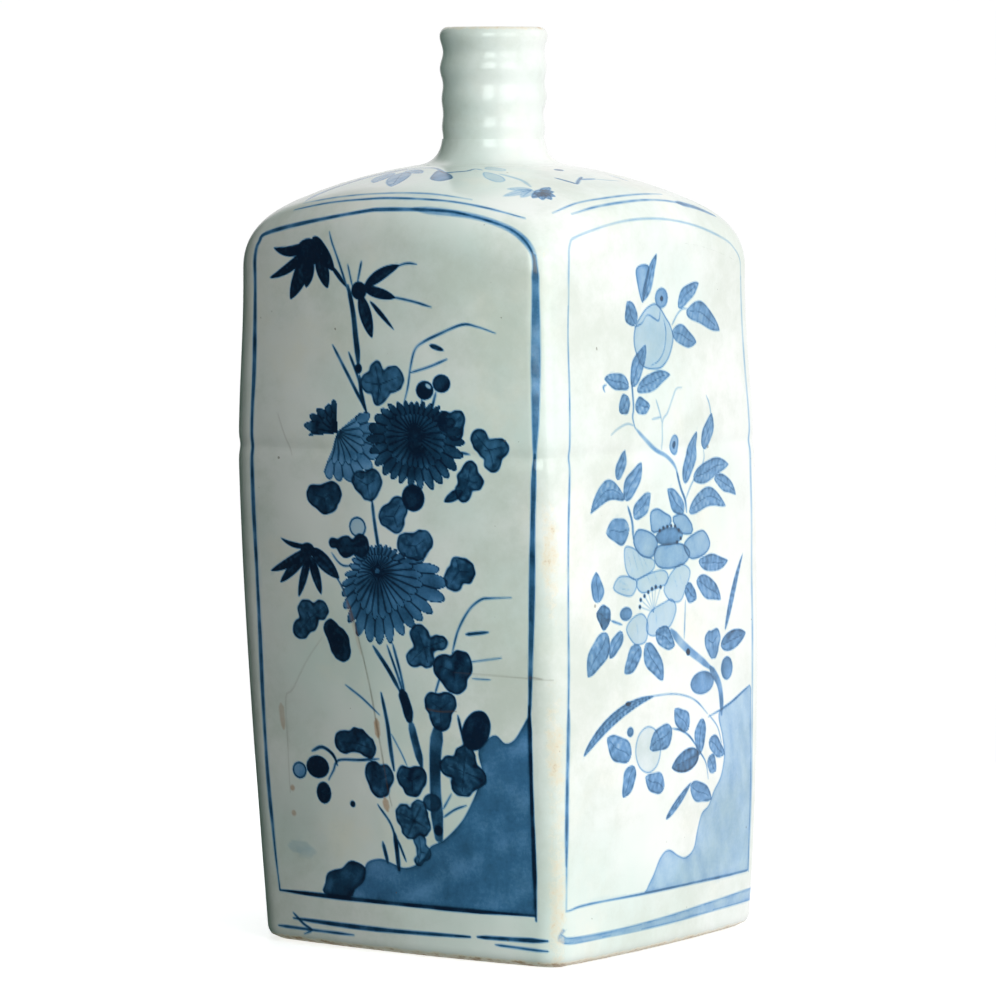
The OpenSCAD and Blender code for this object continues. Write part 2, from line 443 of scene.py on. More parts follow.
@dataclass(frozen=True)
class Leaf:
    """A leaf or blade laid down from its foot to its tip.

    Args:
        foot: Where it starts.
        tip: Where it ends.
        width: Its greatest width.
        tone: Strength of the wash.
        bend: How far its middle lies to the left of the straight way.
        seed: Number that sets how the pigment runs.
        vein: Strength of the line along its middle.
        wave: How much its middle and its edges wave.
        powers: How bluntly it starts and how finely it ends.
        fullness: Factor that brings its widest place to its width.
    """

    foot: Array
    tip: Array
    width: float
    tone: float
    bend: float
    seed: int
    vein: float
    wave: float
    edge: float = 0.3
    powers: Two = (0.55, 0.75)
    fullness: float = 2.4
    vein_half: float = 0.16
    vein_ends: Two = (0.08, 0.85)

    def reach(self) -> Four:
        """What the leaf touches."""
        pad = self.width / 2 * 1.5 + abs(self.bend) + self.edge
        return reach_of(np.stack([self.foot, self.tip]), pad)

    def lay(self, x: Array, y: Array) -> Array:
        """Strength of the pigment at points."""
        way = self.tip - self.foot
        length = float(np.hypot(*way))
        ex, ey = way / length
        dx, dy = x - self.foot[0], y - self.foot[1]
        u = (dx * ex + dy * ey) / length
        phase = self.seed % 7
        uc = np.clip(u, 0, 1)
        v = dy * ex - dx * ey - self.bend * 4 * u * (1 - u)
        v = v - self.wave * self.width * np.sin(math.tau * uc + phase) * uc * (1 - uc) * 4
        half = self.width / 2 * uc**self.powers[0] * (1 - uc) ** self.powers[1] * self.fullness
        half = half * (1 + self.wave * 0.8 * np.sin(uc * 8 + phase * 2) * (1 - uc))
        depth = np.where(u < 0, -np.hypot(u * length, v), half - np.abs(v))
        depth = np.where(u > 1, -np.hypot((u - 1) * length, v), depth)
        wash = self.tone * (0.95 + 0.16 * v / self.width + 0.06 * ripple(x, y, 6, self.seed)
                            + 0.13 * ripple(x, y, 2.4, self.seed + 3))
        wash = wash * (1 + 0.26 * np.exp(-((depth - 0.3) / 0.35) ** 2))
        drawn = (u > self.vein_ends[0]) & (u < self.vein_ends[1])
        line = self.vein * soft_step(self.vein_half - np.abs(v), self.vein_half) * drawn
        fill = np.clip(wash, 0, 1) * soft_step(depth, self.edge)
        return 1 - (1 - fill) * (1 - line * soft_step(depth, self.edge))


@dataclass(frozen=True)
class LobedLeaf:
    """A leaf of several lobes with one drawn rim and a vein to each lobe.

    Args:
        lobes: Middle, half width and half height of each lobe, one row each.
        tone: Strength of the wash.
        seed: Number that sets how the pigment runs.
        blend: How softly two lobes run into one another.
        inset: How far the edge lies in, to make up for that.
    """

    lobes: Array
    tone: float
    seed: int
    blend: float = 0.7
    inset: float = 0.35
    edge: float = 0.3
    vein: float = 0.42
    vein_reach: float = 0.35

    def reach(self) -> Four:
        """What the leaf touches."""
        middle, size = self.lobes[:, :2], self.lobes[:, 2:] + 0.5
        return (*(middle - size).min(axis=0), *(middle + size).max(axis=0))

    def lay(self, x: Array, y: Array) -> Array:
        """Strength of the pigment at points."""
        heart = self.lobes[:, :2].mean(axis=0)
        near = np.zeros(x.shape)
        vein = np.zeros(x.shape)
        for cx, cy, w, h in self.lobes:
            round_gap = np.hypot((x - cx) / w, (y - cy) / h)
            near += np.exp(np.clip((1 - round_gap) * min(w, h), -9, 9) / self.blend)
            tip = np.array([cx, cy]) + (np.array([cx, cy]) - heart) * self.vein_reach
            line = line_gap(x, y, np.stack([heart, tip]), np.array([0.16, 0.08]))
            vein = np.maximum(vein, soft_step(-line, 0.2))
        depth = self.blend * np.log(near) - self.inset + 0.14 * ripple(x, y, 3.4, self.seed)
        wash = self.tone * (0.95 + 0.1 * ripple(x, y, 8, self.seed + 1)
                            + 0.08 * ripple(x, y, 2.6, self.seed))
        wash = wash * (1 + 0.34 * np.exp(-((depth - 0.25) / 0.3) ** 2))
        fill = np.clip(wash, 0, 1) * soft_step(depth, self.edge)
        return 1 - (1 - fill) * (1 - self.vein * vein * soft_step(depth, self.edge))


@dataclass(frozen=True)
class Bloom:
    """A many-petalled flower whose petals spread from one point.

    Args:
        heart: Where the petals start.
        spread: Angle in degrees and reach in mm, in order of angle.
        petals: Petals in a full turn.
        tone: Strength of the wash.
        line: Strength of the drawn petal edges.
        flip: -1 for a mirrored flower.
        seed: Number that sets how the pigment runs.
        fan: Whether it is only the sector from the first angle to the last.
        layers: Reach of each ring of petals, as a share, from the outermost in.
    """

    heart: Array
    spread: Points
    petals: int
    tone: float
    line: float
    flip: int
    seed: int
    fan: bool
    layers: tuple[float, ...] = (1.0, 0.66)
    bare_heart: float = 0.8

    def reach(self) -> Four:
        """What the flower touches."""
        return reach_of(self.heart[None], max(r for _, r in self.spread) + 0.5)

    def lay(self, x: Array, y: Array) -> Array:
        """Strength of the pigment at points."""
        dx, dy = (x - self.heart[0]) * self.flip, y - self.heart[1]
        rho = np.hypot(dx, dy) + 1e-6
        angles, radii = np.array(self.spread, float).T
        turn = np.degrees(np.arctan2(dy, dx))
        turn = (turn - angles[0]) % 360 + angles[0]
        if self.fan:
            edge_r = np.interp(turn, angles, radii, left=0, right=0)
        else:
            edge_r = np.interp(turn, [*angles, angles[0] + 360], [*radii, radii[0]])
        fill, line = np.zeros(x.shape), np.zeros(x.shape)
        for n, share in enumerate(self.layers):
            wobble = 0.06 * np.sin(turn * 0.13 + n * 2 + self.seed)
            c = 2 * ((turn * self.petals / 360 + 0.5 * n + wobble) % 1) - 1
            tip = edge_r * share * (1 - 0.15 * c**2 - 0.02 * np.sin(turn * 0.4 + self.seed))
            inside = soft_step(tip - rho, 0.25)
            side = (1 - np.abs(c)) * math.pi * rho / self.petals
            drawn = np.maximum(soft_step(0.17 - side, 0.24) * (rho > self.bare_heart),
                               soft_step(0.22 - np.abs(tip - rho - 0.1), 0.22))
            petal = self.tone * (1.12 - 0.3 * rho / np.maximum(tip, 1) + 0.06 * np.abs(c))
            fill = fill * (1 - inside) + petal * inside
            line = line * (1 - inside) + drawn * inside
        wash = np.clip(fill * (1 + 0.12 * ripple(x, y, 8, self.seed)), 0, 1)
        return 1 - (1 - wash) * (1 - self.line * line)


Mark = Stroke | Patch | Leaf | LobedLeaf | Bloom


@dataclass
class Painting:
    """Everything that one painter's brush lays on one side.

    Args:
        flip: -1 if the design is turned left to right.
        drift: How far marks stray from the design, in mm.
        seed: Number that sets how marks stray and how the pigment runs.
        load: How strong the brush is loaded.
        overlap: Share of the fainter mark that still tells where two lie over one another.
    """

    flip: int = 1
    drift: float = 0.0
    seed: int = 1
    load: float = 1.0
    overlap: float = 0.45
    marks: list[tuple[Mark, bool]] = field(default_factory=list)

    def __post_init__(self) -> None:
        """Starts the stray of this painting."""
        self.rng = np.random.default_rng(self.seed)

    def _put(self, points: Points) -> Array:
        """Places points of the design on this side, with the hand's own stray."""
        stray = self.rng.normal(0, 1, 2) * self.drift
        return np.array(points, float) * (self.flip, 1) + stray

    def _next(self) -> int:
        """A new seed for a mark."""
        return int(self.rng.integers(1, 10**6))

    def stroke(self, points: Points, width: float, tone: float, taper: float = 0.45) -> None:
        """Lays a line.

        Args:
            points: Its middle.
            width: Its greatest width.
            tone: Strength of the pigment.
            taper: Share of the width that is left at both ends.
        """
        path = smooth_path(self._put(points))
        t = np.linspace(0, 1, len(path))
        ends = taper + (1 - taper) * np.clip(np.minimum(t * 9, (1 - t) * 5), 0, 1)
        sway = 1 + 0.14 * np.sin(t * len(path) * 0.13 + self._next())
        self.marks.append((Stroke(path, width / 2 * ends * sway, tone, self._next()), False))

    def strokes(self, lines: Sequence[Points], width: float, tone: float, taper: float = 0.45) -> None:
        """Lays several lines with one loaded brush."""
        for points in lines:
            self.stroke(points, width, tone, taper)

    def patch(self, points: Points, tone: float, rim: float = 0.35, streak: float = 0.12) -> None:
        """Lays a shape with a drawn rim."""
        path = smooth_path(self._put(points), closed=True)
        self.marks.append((Patch(path, tone, rim, self._next(), streak), False))

    def leaf(self, foot: tuple, tip: tuple, width: float, tone: float,
             bend: float = 0, vein: float = 0.3, wave: float = 0.0) -> None:
        """Lays a leaf from foot to tip; a positive bend bows it to the left of that way."""
        ends = self._put([foot, tip])
        shape = Leaf(ends[0], ends[1], width, tone, bend * self.flip, self._next(), vein, wave)
        self.marks.append((shape, False))

    def lobed(self, lobes: Sequence[tuple], tone: float) -> None:
        """Lays a leaf of lobes, each with its middle, half width and half height."""
        rows = np.array(lobes, float)
        rows[:, :2] = self._put(rows[:, :2])
        self.marks.append((LobedLeaf(rows, tone, self._next()), False))

    def blob(self, middle: tuple, size: tuple, tone: float, rim: float = 0.3, turn: float = 0) -> None:
        """Lays an oval of the given half sizes, turned by so many degrees."""
        self.patch(oval(middle, size, turn), tone, rim)

    def lift(self, middle: tuple, size: tuple, share: float, turn: float = 0) -> None:
        """Wipes an oval of pigment off again."""
        path = smooth_path(self._put(oval(middle, size, turn)), closed=True)
        self.marks.append((Patch(path, share, 0, self._next()), True))

    def bloom(self, heart: tuple, spread: Points, petals: int, tone: float,
              line: float = 0.55, fan: bool = False) -> None:
        """Lays a flower whose petals spread from its heart."""
        middle = self._put([heart])[0]
        flower = Bloom(middle, spread, petals, tone, line, self.flip, self._next(), fan)
        self.marks.append((flower, False))

    def pigment(self, x: Array, y: Array) -> Array:
        """Strength of the pigment at points.

        Args:
            x: Their runs.
            y: Their rises.

        Returns:
            Values from 0, bare glaze, to 1, darkest cobalt.
        """
        total = np.zeros(x.shape)
        for mark, lifts in self.marks:
            x0, y0, x1, y1 = mark.reach()
            near = (x > x0) & (x < x1) & (y > y0) & (y < y1)
            if near.any():
                laid = mark.lay(x[near], y[near])
                under = total[near]
                most, least = np.maximum(under, laid), np.minimum(under, laid)
                over = most + self.overlap * least * (1 - most)
                total[near] = under * (1 - laid) if lifts else over
        return np.clip(total * self.load, 0, 1)


def oval(middle: tuple, size: tuple, turn: float = 0) -> Points:
    """Points round an oval.

    Args:
        middle: Its middle.
        size: Its half width and half height.
        turn: How far it is turned, in degrees.

    Returns:
        The points, anticlockwise.
    """
    count = 8
    c, s = math.cos(math.radians(turn)), math.sin(math.radians(turn))
    ring = [(size[0] * math.cos(a), size[1] * math.sin(a))
            for a in (math.tau * k / count for k in range(count))]
    return [(middle[0] + x * c - y * s, middle[1] + x * s + y * c) for x, y in ring]


def blades(art: Painting, rows: Sequence[tuple], tone: float, wave: float = 0.0) -> None:
    """Lays leaves, each given by its foot, tip, width and perhaps its bend."""
    for foot, tip, width, *bend in rows:
        art.leaf(foot, tip, width, tone, bend[0] if bend else 0, wave=wave)


def paint_chrysanthemums(art: Painting, top: Top) -> None:
    """Lays the bank of chrysanthemums with bamboo, rock and grass."""
    art.stroke([(-45, 15.5), (-46.5, 30), (-48, 60), (-48, 100), (-48.5, 145), (-47.5, 170), (-47.3, 192),
                *top([(-47.4, 0.08), (-47, 0.3), (-43, 0.41), (-10, 0.44), (0, 0.48), (20, 0.55),
                      (30, 0.57), (42, 0.56), (48, 0.48), (51, 0.3), (51.7, 0.05)])], 1.35, 0.58)
    art.stroke([(51.7, 204), (51.9, 190), (52.3, 160), (52, 147)], 2.5, 0.48)
    art.stroke([(52, 148), (50, 110), (48, 80), (47.3, 73)], 1.8, 0.6)
    art.stroke([(47.4, 76), (47, 50), (46.8, 30), (46.7, 14)], 1.25, 0.85)
    art.stroke([(-45, 15.3), (0, 15.2), (46.5, 15.4)], 1.2, 0.85)
    art.stroke(top([(10, 0.52), (30, 0.57), (42, 0.56), (48, 0.48), (51.2, 0.3), (51.7, 0.05)]), 2.4, 0.34)
    art.strokes([[(-40, 7.4), (-10, 7), (24.5, 7.6)], [(27, 7.8), (50, 8.3)]], 1.3, 0.7)
    art.strokes([[(-46, 4.6), (-17, 4.5)], [(33, 6), (50, 5.3)]], 0.9, 0.6)
    art.stroke([(-40, 9), (-36, 6), (-33, 4.5), (-36, 3)], 0.8, 0.6)
    # Bamboo at the top left, with its stem and twigs.
    art.blob((-26.5, 204.2), (4.6, 3.8), 0.9)
    blades(art, [((-26, 207), (-40, 205), 3.0, 1.6), ((-26, 206), (-41.5, 196.5), 3.0, 1.2),
                 ((-26, 204), (-33.5, 190.5), 5.4), ((-26, 203), (-27.5, 194), 4.4),
                 ((-25, 208.5), (-17, 199), 4.6), ((-23, 204), (-19.5, 194), 4.6),
                 ((-18, 200.5), (-12.6, 194.5), 1.4)], 0.9)
    art.stroke([(-12, 195), (-10, 187), (-9, 180), (-8.3, 175), (-8, 171)], 1.7, 0.72)
    art.blob((-8, 171), (1.2, 1.4), 0.97)
    art.stroke([(-7.6, 169), (-6.8, 163), (-5, 158.5)], 1.4, 0.7)
    art.strokes([[(-19, 210), (-15, 201), (-11.5, 192)], [(-12, 201), (-10.5, 195)],
                 [(-7, 202), (-8.5, 196)], [(-24.5, 201), (-23, 203)]], 0.65, 0.6)
    art.blob((-8, 193.5), (2.7, 2.6), 0.85)
    blades(art, [((-6, 194.5), (6.5, 201.2), 3.4, 0.6), ((-6, 194), (5, 191.7), 3.2),
                 ((-7.5, 192), (-3.2, 180), 4.2), ((-4, 190.5), (4.4, 182.6), 1.4)], 0.85)
    art.strokes([[(5, 200.6), (9, 201.7), (12.5, 201.5)], [(3.5, 192), (11, 190.8), (17.5, 189.3)]],
                0.6, 0.6)
    art.strokes([[(-17.5, 177.5), (-11.5, 168.5), (-5.5, 159.5)],
                 [(-11.5, 175.5), (-8, 168), (-5, 158.5)]], 0.95, 0.68)
    art.strokes([[(8.2, 161), (9.6, 166), (10.5, 172), (12, 177), (15, 179.3), (20, 181.5), (28, 184.5),
                  (33, 184), (39, 182.3)], [(10.5, 170.3), (17, 172.2), (23, 174.5)]], 0.7, 0.6)
    art.leaf((17, 178.4), (22, 177), 1.5, 0.7)
    art.lobed([(-4.2, 167, 3.5, 3.2), (-1.5, 170.5, 2.7, 3.4), (4.4, 168.3, 4.2, 4.2), (0, 165, 3.6, 3.8),
                (-1, 161.8, 1.8, 1.6)], 0.62)
    art.blob((15.5, 165.4), (3, 2.7), 0.8)
    art.lift((16.7, 166.6), (1.1, 0.6), 0.7, -30)
    art.blob((21.2, 167.5), (3, 2.6), 0.78)
    art.strokes([[(14.5, 163), (14.8, 160)], [(19.4, 165), (18, 160)]], 0.8, 0.65)
    # The upper flowers: a dark fan, a pale half flower and the darkest full one.
    art.bloom((-15.5, 152), [(92, 9.5), (100, 10), (118, 9), (130, 9.6), (150, 11), (172, 12.4), (186, 11)],
              20, 0.78, 0.8, fan=True)
    art.bloom((-15.5, 152.5), [(-115, 15), (-95, 14.5), (-60, 16), (-30, 16.5), (10, 14), (35, 12)],
              22, 0.5, 0.6, fan=True)
    art.bloom((12, 152.5), [(-90, 15), (-70, 16.5), (-30, 17), (0, 17), (35, 13), (60, 10.5), (90, 9.5),
                            (120, 10.5), (150, 14), (180, 17), (225, 16.5), (250, 15)], 28, 0.76, 0.9)
    art.lobed([(22.6, 156.4, 2.9, 3.4), (26.8, 157.4, 2.9, 3), (26, 153.6, 3, 2.7)], 0.72)
    art.lobed([(34, 152, 3.2, 3.4), (40.2, 149.7, 4, 3.2), (38.2, 145.2, 3.2, 2.9), (36, 148.8, 3, 2.6)],
          0.66)
    art.stroke([(30.5, 147.5), (27, 148)], 0.9, 0.65)
    art.lobed([(30.8, 143.2, 2.8, 3), (32.4, 139.6, 3.2, 2.8), (28.2, 136.4, 3, 3), (28.8, 140.4, 2.8, 2.6)],
          0.7)
    art.leaf((28, 137), (21.6, 133.6), 3, 0.7)
    art.lobed([(-7.5, 138.4, 3.6, 3.4), (-3, 138.6, 3.6, 4), (-4.6, 135, 3.2, 2.6)], 0.64)
    art.lobed([(-24.3, 133.6, 3.8, 3.6), (-18.4, 134.4, 4.2, 3.9), (-20.6, 130.6, 4, 2.8)], 0.76)
    art.lobed([(2, 128.6, 3.6, 3.8), (5.8, 131, 3.6, 4), (5, 126.4, 3, 3)], 0.66)
    art.blob((11, 134.3), (3.9, 3.9), 0.8)
    art.stroke([(-3.5, 133), (-2.8, 127), (-1.5, 118)], 1.0, 0.66)
    art.lobed([(8.6, 120.6, 4, 4), (14, 122, 4, 3.7), (12, 118.4, 3.4, 2.6)], 0.64)
    art.blob((-9, 125), (3, 2.9), 0.22, rim=0.8)
    art.lobed([(-13.6, 119, 3.6, 3.6), (-8, 119.6, 3.4, 3.9), (-18.3, 120, 2, 1.8)], 0.82)
    # Bamboo at the middle left.
    art.blob((-28, 117.4), (2.6, 2.1), 0.88)
    blades(art, [((-28, 118.5), (-38, 120.4), 1.6, 0.8), ((-28, 117.6), (-42.5, 110.5), 2.9, 0.6),
                 ((-28, 116.6), (-39, 107.3), 3.3), ((-27.6, 115.8), (-32.2, 103.4), 2.8),
                 ((-27, 115.6), (-23.6, 104.6), 3.3), ((-26.5, 117.8), (-16.6, 109.6), 4.8)], 0.85)
    art.strokes([[(-18, 110.4), (-16.4, 108.4), (-15, 106)],
                 [(-19, 117), (-17, 114.7), (-15, 113.5), (-12, 113.5)]], 0.6, 0.6)
    art.bloom((-2.5, 112.5), [(-140, 17), (-115, 20.5), (-97, 21.6), (-86, 21.6), (-68, 19.6),
                              (-45, 20.4), (-26, 22), (-10, 25.4), (5, 22.5), (25, 12), (45, 9.5),
                              (90, 7.4), (135, 8.5), (180, 10.5), (205, 15)], 30, 0.6, 0.8)
    # Leaves and stalks under the middle flower.
    art.lobed([(24, 111.4, 3.6, 4), (28.4, 113.8, 3.4, 3.9), (25.6, 116.2, 2.6, 2.2)], 0.68)
    art.lobed([(11.3, 95, 3.6, 3.2), (18, 92.8, 3.8, 2.6), (9.2, 87.8, 3, 3), (13.6, 88, 3, 3.2),
                (12.4, 91.4, 3.2, 3)], 0.68)
    art.lobed([(19.6, 85.6, 4.2, 4.4), (25.4, 86.8, 4.2, 4.6), (23, 81.4, 4.4, 3.6)], 0.78)
    art.lobed([(-29.5, 99.5, 3.7, 3.7), (-24, 100, 3.3, 3.3), (-32, 93.8, 3.3, 3.3), (-28, 95.8, 2.8, 2.8)],
          0.68)
    art.lobed([(-20.6, 94.6, 3, 3.2), (-17.6, 91, 4.2, 4.6), (-16.6, 88, 3.4, 3)], 0.92)
    art.strokes([[(22.5, 90), (25, 97), (29, 103), (33, 106), (36, 106.5), (43, 107)]], 0.65, 0.6)
    art.stroke([(27.5, 95.7), (35, 96.7)], 0.85, 0.66)
    art.strokes([[(28, 87.7), (39, 89.5)], [(29, 83), (35, 83)]], 0.5, 0.5)
    art.stroke([(-5, 90.5), (0, 84), (4, 77.5)], 1.2, 0.72)
    art.strokes([[(0, 91), (3, 83), (5, 77)], [(2, 91.5), (4, 84), (5.5, 77)]], 0.8, 0.66)
    art.stroke([(4.5, 77.5), (6, 73), (6.5, 70)], 3.0, 0.95, 0.7)
    art.stroke([(7, 69), (8, 64), (10, 56.5)], 2.3, 0.66)
    art.stroke([(-16, 78.5), (-10, 75), (-4, 70.5)], 0.6, 0.55)
    art.stroke([(0, 65), (3, 60), (5, 56)], 0.5, 0.5)
    art.stroke([(-3, 77), (-1.3, 68), (-0.5, 60), (0.3, 54.5)], 1.2, 0.68)
    art.lobed([(15.2, 75, 3.4, 3.8), (20.2, 75.4, 3.4, 3.6), (17.6, 70.6, 4, 3.8)], 0.74)
    art.stroke([(16.4, 68), (15, 60), (14.5, 50), (15, 36)], 4.4, 0.66, 0.6)
    art.blob((13.2, 46), (3.2, 2.6), 0.62)
    art.blob((15, 38), (1.5, 1.6), 0.9)
    art.stroke([(18, 83), (16, 78)], 0.8, 0.6)
    art.stroke([(23.5, 72), (25, 65), (25.5, 62)], 1.0, 0.7)
    art.blob((29.5, 68), (4.4, 6.2), 0.85, turn=-28)
    art.lobed([(20, 57, 4.2, 3.4), (25.4, 60, 4, 4), (29, 54.4, 3.8, 3.4), (24, 51.6, 4.4, 3.6),
               (24.6, 56, 4, 3.6)], 0.72)
    art.lobed([(-17.4, 61.6, 4.2, 3.8), (-12.4, 62.6, 4, 4), (-8.6, 60.6, 3.2, 3.6)], 0.76)
    art.stroke([(-5, 57.5), (-12, 56.7), (-20, 56), (-22, 53), (-24, 50)], 0.85, 0.66)
    art.lobed([(-7.2, 53, 3.4, 4.2), (-2.6, 52.6, 3, 4), (-5, 48.6, 3.4, 3)], 0.74)
    art.lobed([(4, 53, 3.2, 3.6), (8.8, 53.2, 3.2, 3.6), (6.5, 49.6, 3.4, 2.8)], 0.76)
    art.lobed([(3.2, 41.6, 3.4, 3.8), (8.6, 43.4, 3.2, 3.6), (9.6, 39, 3.2, 3.4), (5, 37.2, 3.2, 3)], 0.66)
    art.lobed([(8.2, 34.4, 2.6, 2.6), (9.6, 31, 2.8, 2.8), (7.4, 28.4, 2, 1.8)], 0.56)
    art.blob((-28, 53.5), (4.3, 3.3), 0.9)
    art.blob((-35, 52), (2.6, 2.4), 0.35, rim=0.75)
    art.stroke([(-30, 58), (-26, 59.5), (-22, 57.5), (-20.5, 54.5)], 0.9, 0.7)
    art.blob((-26, 46), (2.7, 3.2), 0.82)
    art.blob((-15.3, 43.5), (0.9, 0.9), 1.0)
    art.blob((-36.5, 29), (4.6, 2), 0.07, rim=0)
    art.blob((-34, 28), (4, 1.6), 0.06, rim=0)
    art.strokes([[(-6, 44), (-1, 37), (0, 25)], [(0.5, 34), (3, 28)]], 0.8, 0.66)
    art.strokes([[(-5, 33), (-3.5, 27)], [(-0.5, 36), (0.5, 25)]], 1.4, 0.72)
    art.strokes([[(17, 42), (21, 44.5), (25, 46)], [(17, 44.5), (20, 49)]], 0.7, 0.62)
    # The rock in the lower right, and the dark lobed leaf in front of it.
    art.patch([(47.1, 73), (45, 70), (42, 66), (39, 64.8), (36, 67), (33, 65.5), (30, 62), (31, 56),
               (29.5, 52), (27, 47), (23, 41), (17, 35.5), (12, 33), (10, 30), (6, 27), (2, 26),
               (-2, 27), (-6, 28), (-11, 26.5), (-13, 22), (-18, 15.6), (0, 15.4), (30, 15.4), (44, 15.5),
               (46.4, 15.6), (46.5, 18), (46.8, 30), (46.9, 55), (47.1, 70)], 0.5, 0.3, 0.08)
    art.strokes([[(40, 63), (38, 50), (40, 38), (37, 22)], [(33, 60), (34.6, 48), (32, 34), (33, 20)],
                 [(26, 42), (25, 30), (27, 18)], [(16, 31), (17.6, 25), (16, 18)]], 2.6, 0.1)
    art.patch([(-27.5, 16), (-27, 19), (-26, 22), (-23, 23.4), (-20.5, 24), (-17, 26.5), (-12, 25),
               (-12.5, 21), (-16, 18), (-18, 15.6)], 0.68, 0.4, 0.1)


def paint_peonies(art: Painting, top: Top) -> None:
    """Lays the two pale peonies with their leaves, buds and rock."""
    art.stroke([(-50.3, 17), (-51.2, 50), (-50.5, 80), (-49.5, 120), (-47.5, 147), (-46, 170),
                (-45.2, 190)], 0.8, 0.48)
    art.stroke([(-45.4, 184), (-45, 192),
                *top([(-44.9, 0.05), (-44, 0.3), (-40, 0.37), (-20, 0.36), (0, 0.33), (20, 0.28),
                      (38, 0.23), (44, 0.16), (47, 0.04)]), (47.4, 195)], 0.6, 0.36)
    art.stroke([(-50.4, 75), (-51, 50), (-50.8, 30)], 1.3, 0.45)
    art.stroke([(-50.3, 16.8), (-40, 17.8), (0, 17.8), (46, 17.3)], 0.75, 0.55)
    art.stroke([(47, 17), (47.5, 50), (48.5, 100), (49.5, 147), (48.5, 170), (47.5, 196)], 1.0, 0.34)
    art.patch([(-51.6, 11.4), (-50.4, 11.2), (-50, 9.2), (-30, 8.8), (0, 9.7), (25, 10.9), (53, 11.6),
               (54, 8.4), (25, 7.8), (0, 7.2), (-30, 7.1), (-50.6, 7.4)], 0.34, 0.28, 0.14)
    # Leaves and the bud at the top.
    art.patch([(-9.5, 190), (-12.5, 197), (-12.5, 200), (-9, 201), (-6, 200), (-7.4, 195)], 0.42, 0.4)
    blades(art, [((-9, 190.5), (-2.2, 204), 4.2), ((9.5, 188), (21.4, 194.8), 5.2, 0.8),
                 ((14, 186.5), (33.4, 180.4), 6.6, 1.8), ((6, 181), (19.4, 177.4), 6)], 0.5, 0.07)
    art.leaf((-13.6, 183.6), (-17.4, 190.6), 6.4, 0.54, wave=0.06)
    art.blob((0.5, 191), (3.4, 3), 0.42)
    art.blob((0.6, 190.8), (0.8, 0.8), 0.85)
    art.patch([(-13.5, 183), (-14.3, 178), (-12, 173), (-9, 171), (-4, 170.4), (0, 171), (4, 174),
               (6.5, 179), (5, 183), (3, 185), (0, 188), (-3, 189.5), (-7, 188.5), (-10, 186.5)],
              0.26, 0.5, 0.08)
    art.strokes([[(-14, 183), (-10, 184), (-7, 186.3), (-3, 185), (-1, 184.5), (0, 188)],
                 [(1.6, 184.6), (2.6, 181), (1.4, 176), (-2, 172.8), (-6, 171.6)],
                 [(6, 183), (9, 186), (12, 187.5), (15, 187.3)]], 0.55, 0.5)
    blades(art, [((-16.5, 166), (-8.3, 177.8), 5.8), ((-14, 164.5), (3.8, 168.6), 5.2, 0.8),
                 ((-18, 166), (-29.8, 168.7), 5.2, -0.6), ((-15.5, 160), (-7.7, 160), 5.2)], 0.5, 0.07)
    art.leaf((-18.6, 163), (-23.4, 158.6), 5.6, 0.54, wave=0.06)
    art.stroke([(-29, 167), (-30.6, 166.4), (-30, 165)], 0.6, 0.5)
    art.stroke([(-16.5, 168), (-16.3, 160), (-17, 157), (-16, 154)], 0.8, 0.55)
    art.stroke([(-16, 154), (-11, 150.5), (-5, 147), (0, 145), (4, 142), (6, 138.5)], 1.2, 0.42)
    art.strokes([[(-16, 154.5), (-20, 155.3), (-25, 154), (-28, 152.5)],
                 [(-1.8, 147), (-1.7, 155), (1, 157.5), (4, 161.5), (6.5, 164.3), (9.5, 164.5)],
                 [(-2, 155), (-3, 158), (-4.5, 161.5)], [(-2.5, 156.5), (-7, 156)]], 0.5, 0.36)
    art.leaf((21, 146), (26.2, 156.2), 6, 0.5, wave=0.06)
    art.stroke([(25.8, 155), (25, 159), (23.5, 161.5)], 0.5, 0.45)
    art.blob((4.5, 148), (2.3, 3), 0.4)
    art.blob((4.5, 148), (0.8, 1.1), 0.6)
    # Leaves round the upper flower.
    blades(art, [((-26, 139.5), (-20.8, 147.8), 4.2), ((-22.5, 133.5), (-13.2, 143.8), 6.2),
                 ((-22.5, 134), (-38.8, 130.5), 6.2, -4.2), ((-18, 128), (-9.2, 134.7), 6),
                 ((-20.5, 125), (-31.8, 124.5), 8), ((9, 136.5), (16.8, 151.3), 5.8),
                 ((14, 137.5), (35.4, 140.6), 6.2, 0.8), ((26.5, 137), (39.3, 131.3), 4.8, 1),
                 ((11, 128), (32.8, 128.4), 6.2, 3.2), ((8, 128), (-0.3, 135.3), 6)], 0.5, 0.07)
    art.strokes([[(-21, 131.5), (-19, 127), (-18.5, 122)], [(5, 140), (7, 135), (9, 131.5), (9.5, 128)]],
                0.95, 0.6)
    art.stroke([(9.5, 132), (13, 136), (20, 142), (21, 146)], 0.5, 0.5)
    for petal in ([(-9.5, 125), (-9.5, 129), (-6, 130), (-2, 128.5), (1, 127), (0, 124.5), (-8, 123)],
                  [(-18.5, 121), (-16, 124.5), (-9, 123), (-6, 120), (-9, 116), (-15, 117)],
                  [(2, 127), (8, 127.5), (12.5, 124), (12, 121.5), (6, 122), (3, 124.5)],
                  [(8, 119), (12, 121), (19, 122), (23, 118), (20, 115), (12, 114), (8, 117)],
                  [(-8, 116), (-6, 119), (6, 119), (11, 116), (8, 113), (0, 112), (-6, 113)]):
        art.patch(petal, 0.38, 0.5, 0.06)
    art.blob((0, 121.5), (7.2, 2.6), 0.5, 0.3)
    for dot in [(-5, 123.5), (-3, 124.2), (-1, 124.4), (1, 124.5), (3, 124.3), (5, 123), (6, 120.5),
                (4, 119.5)]:
        art.blob(dot, (0.55, 0.5), 0.85)
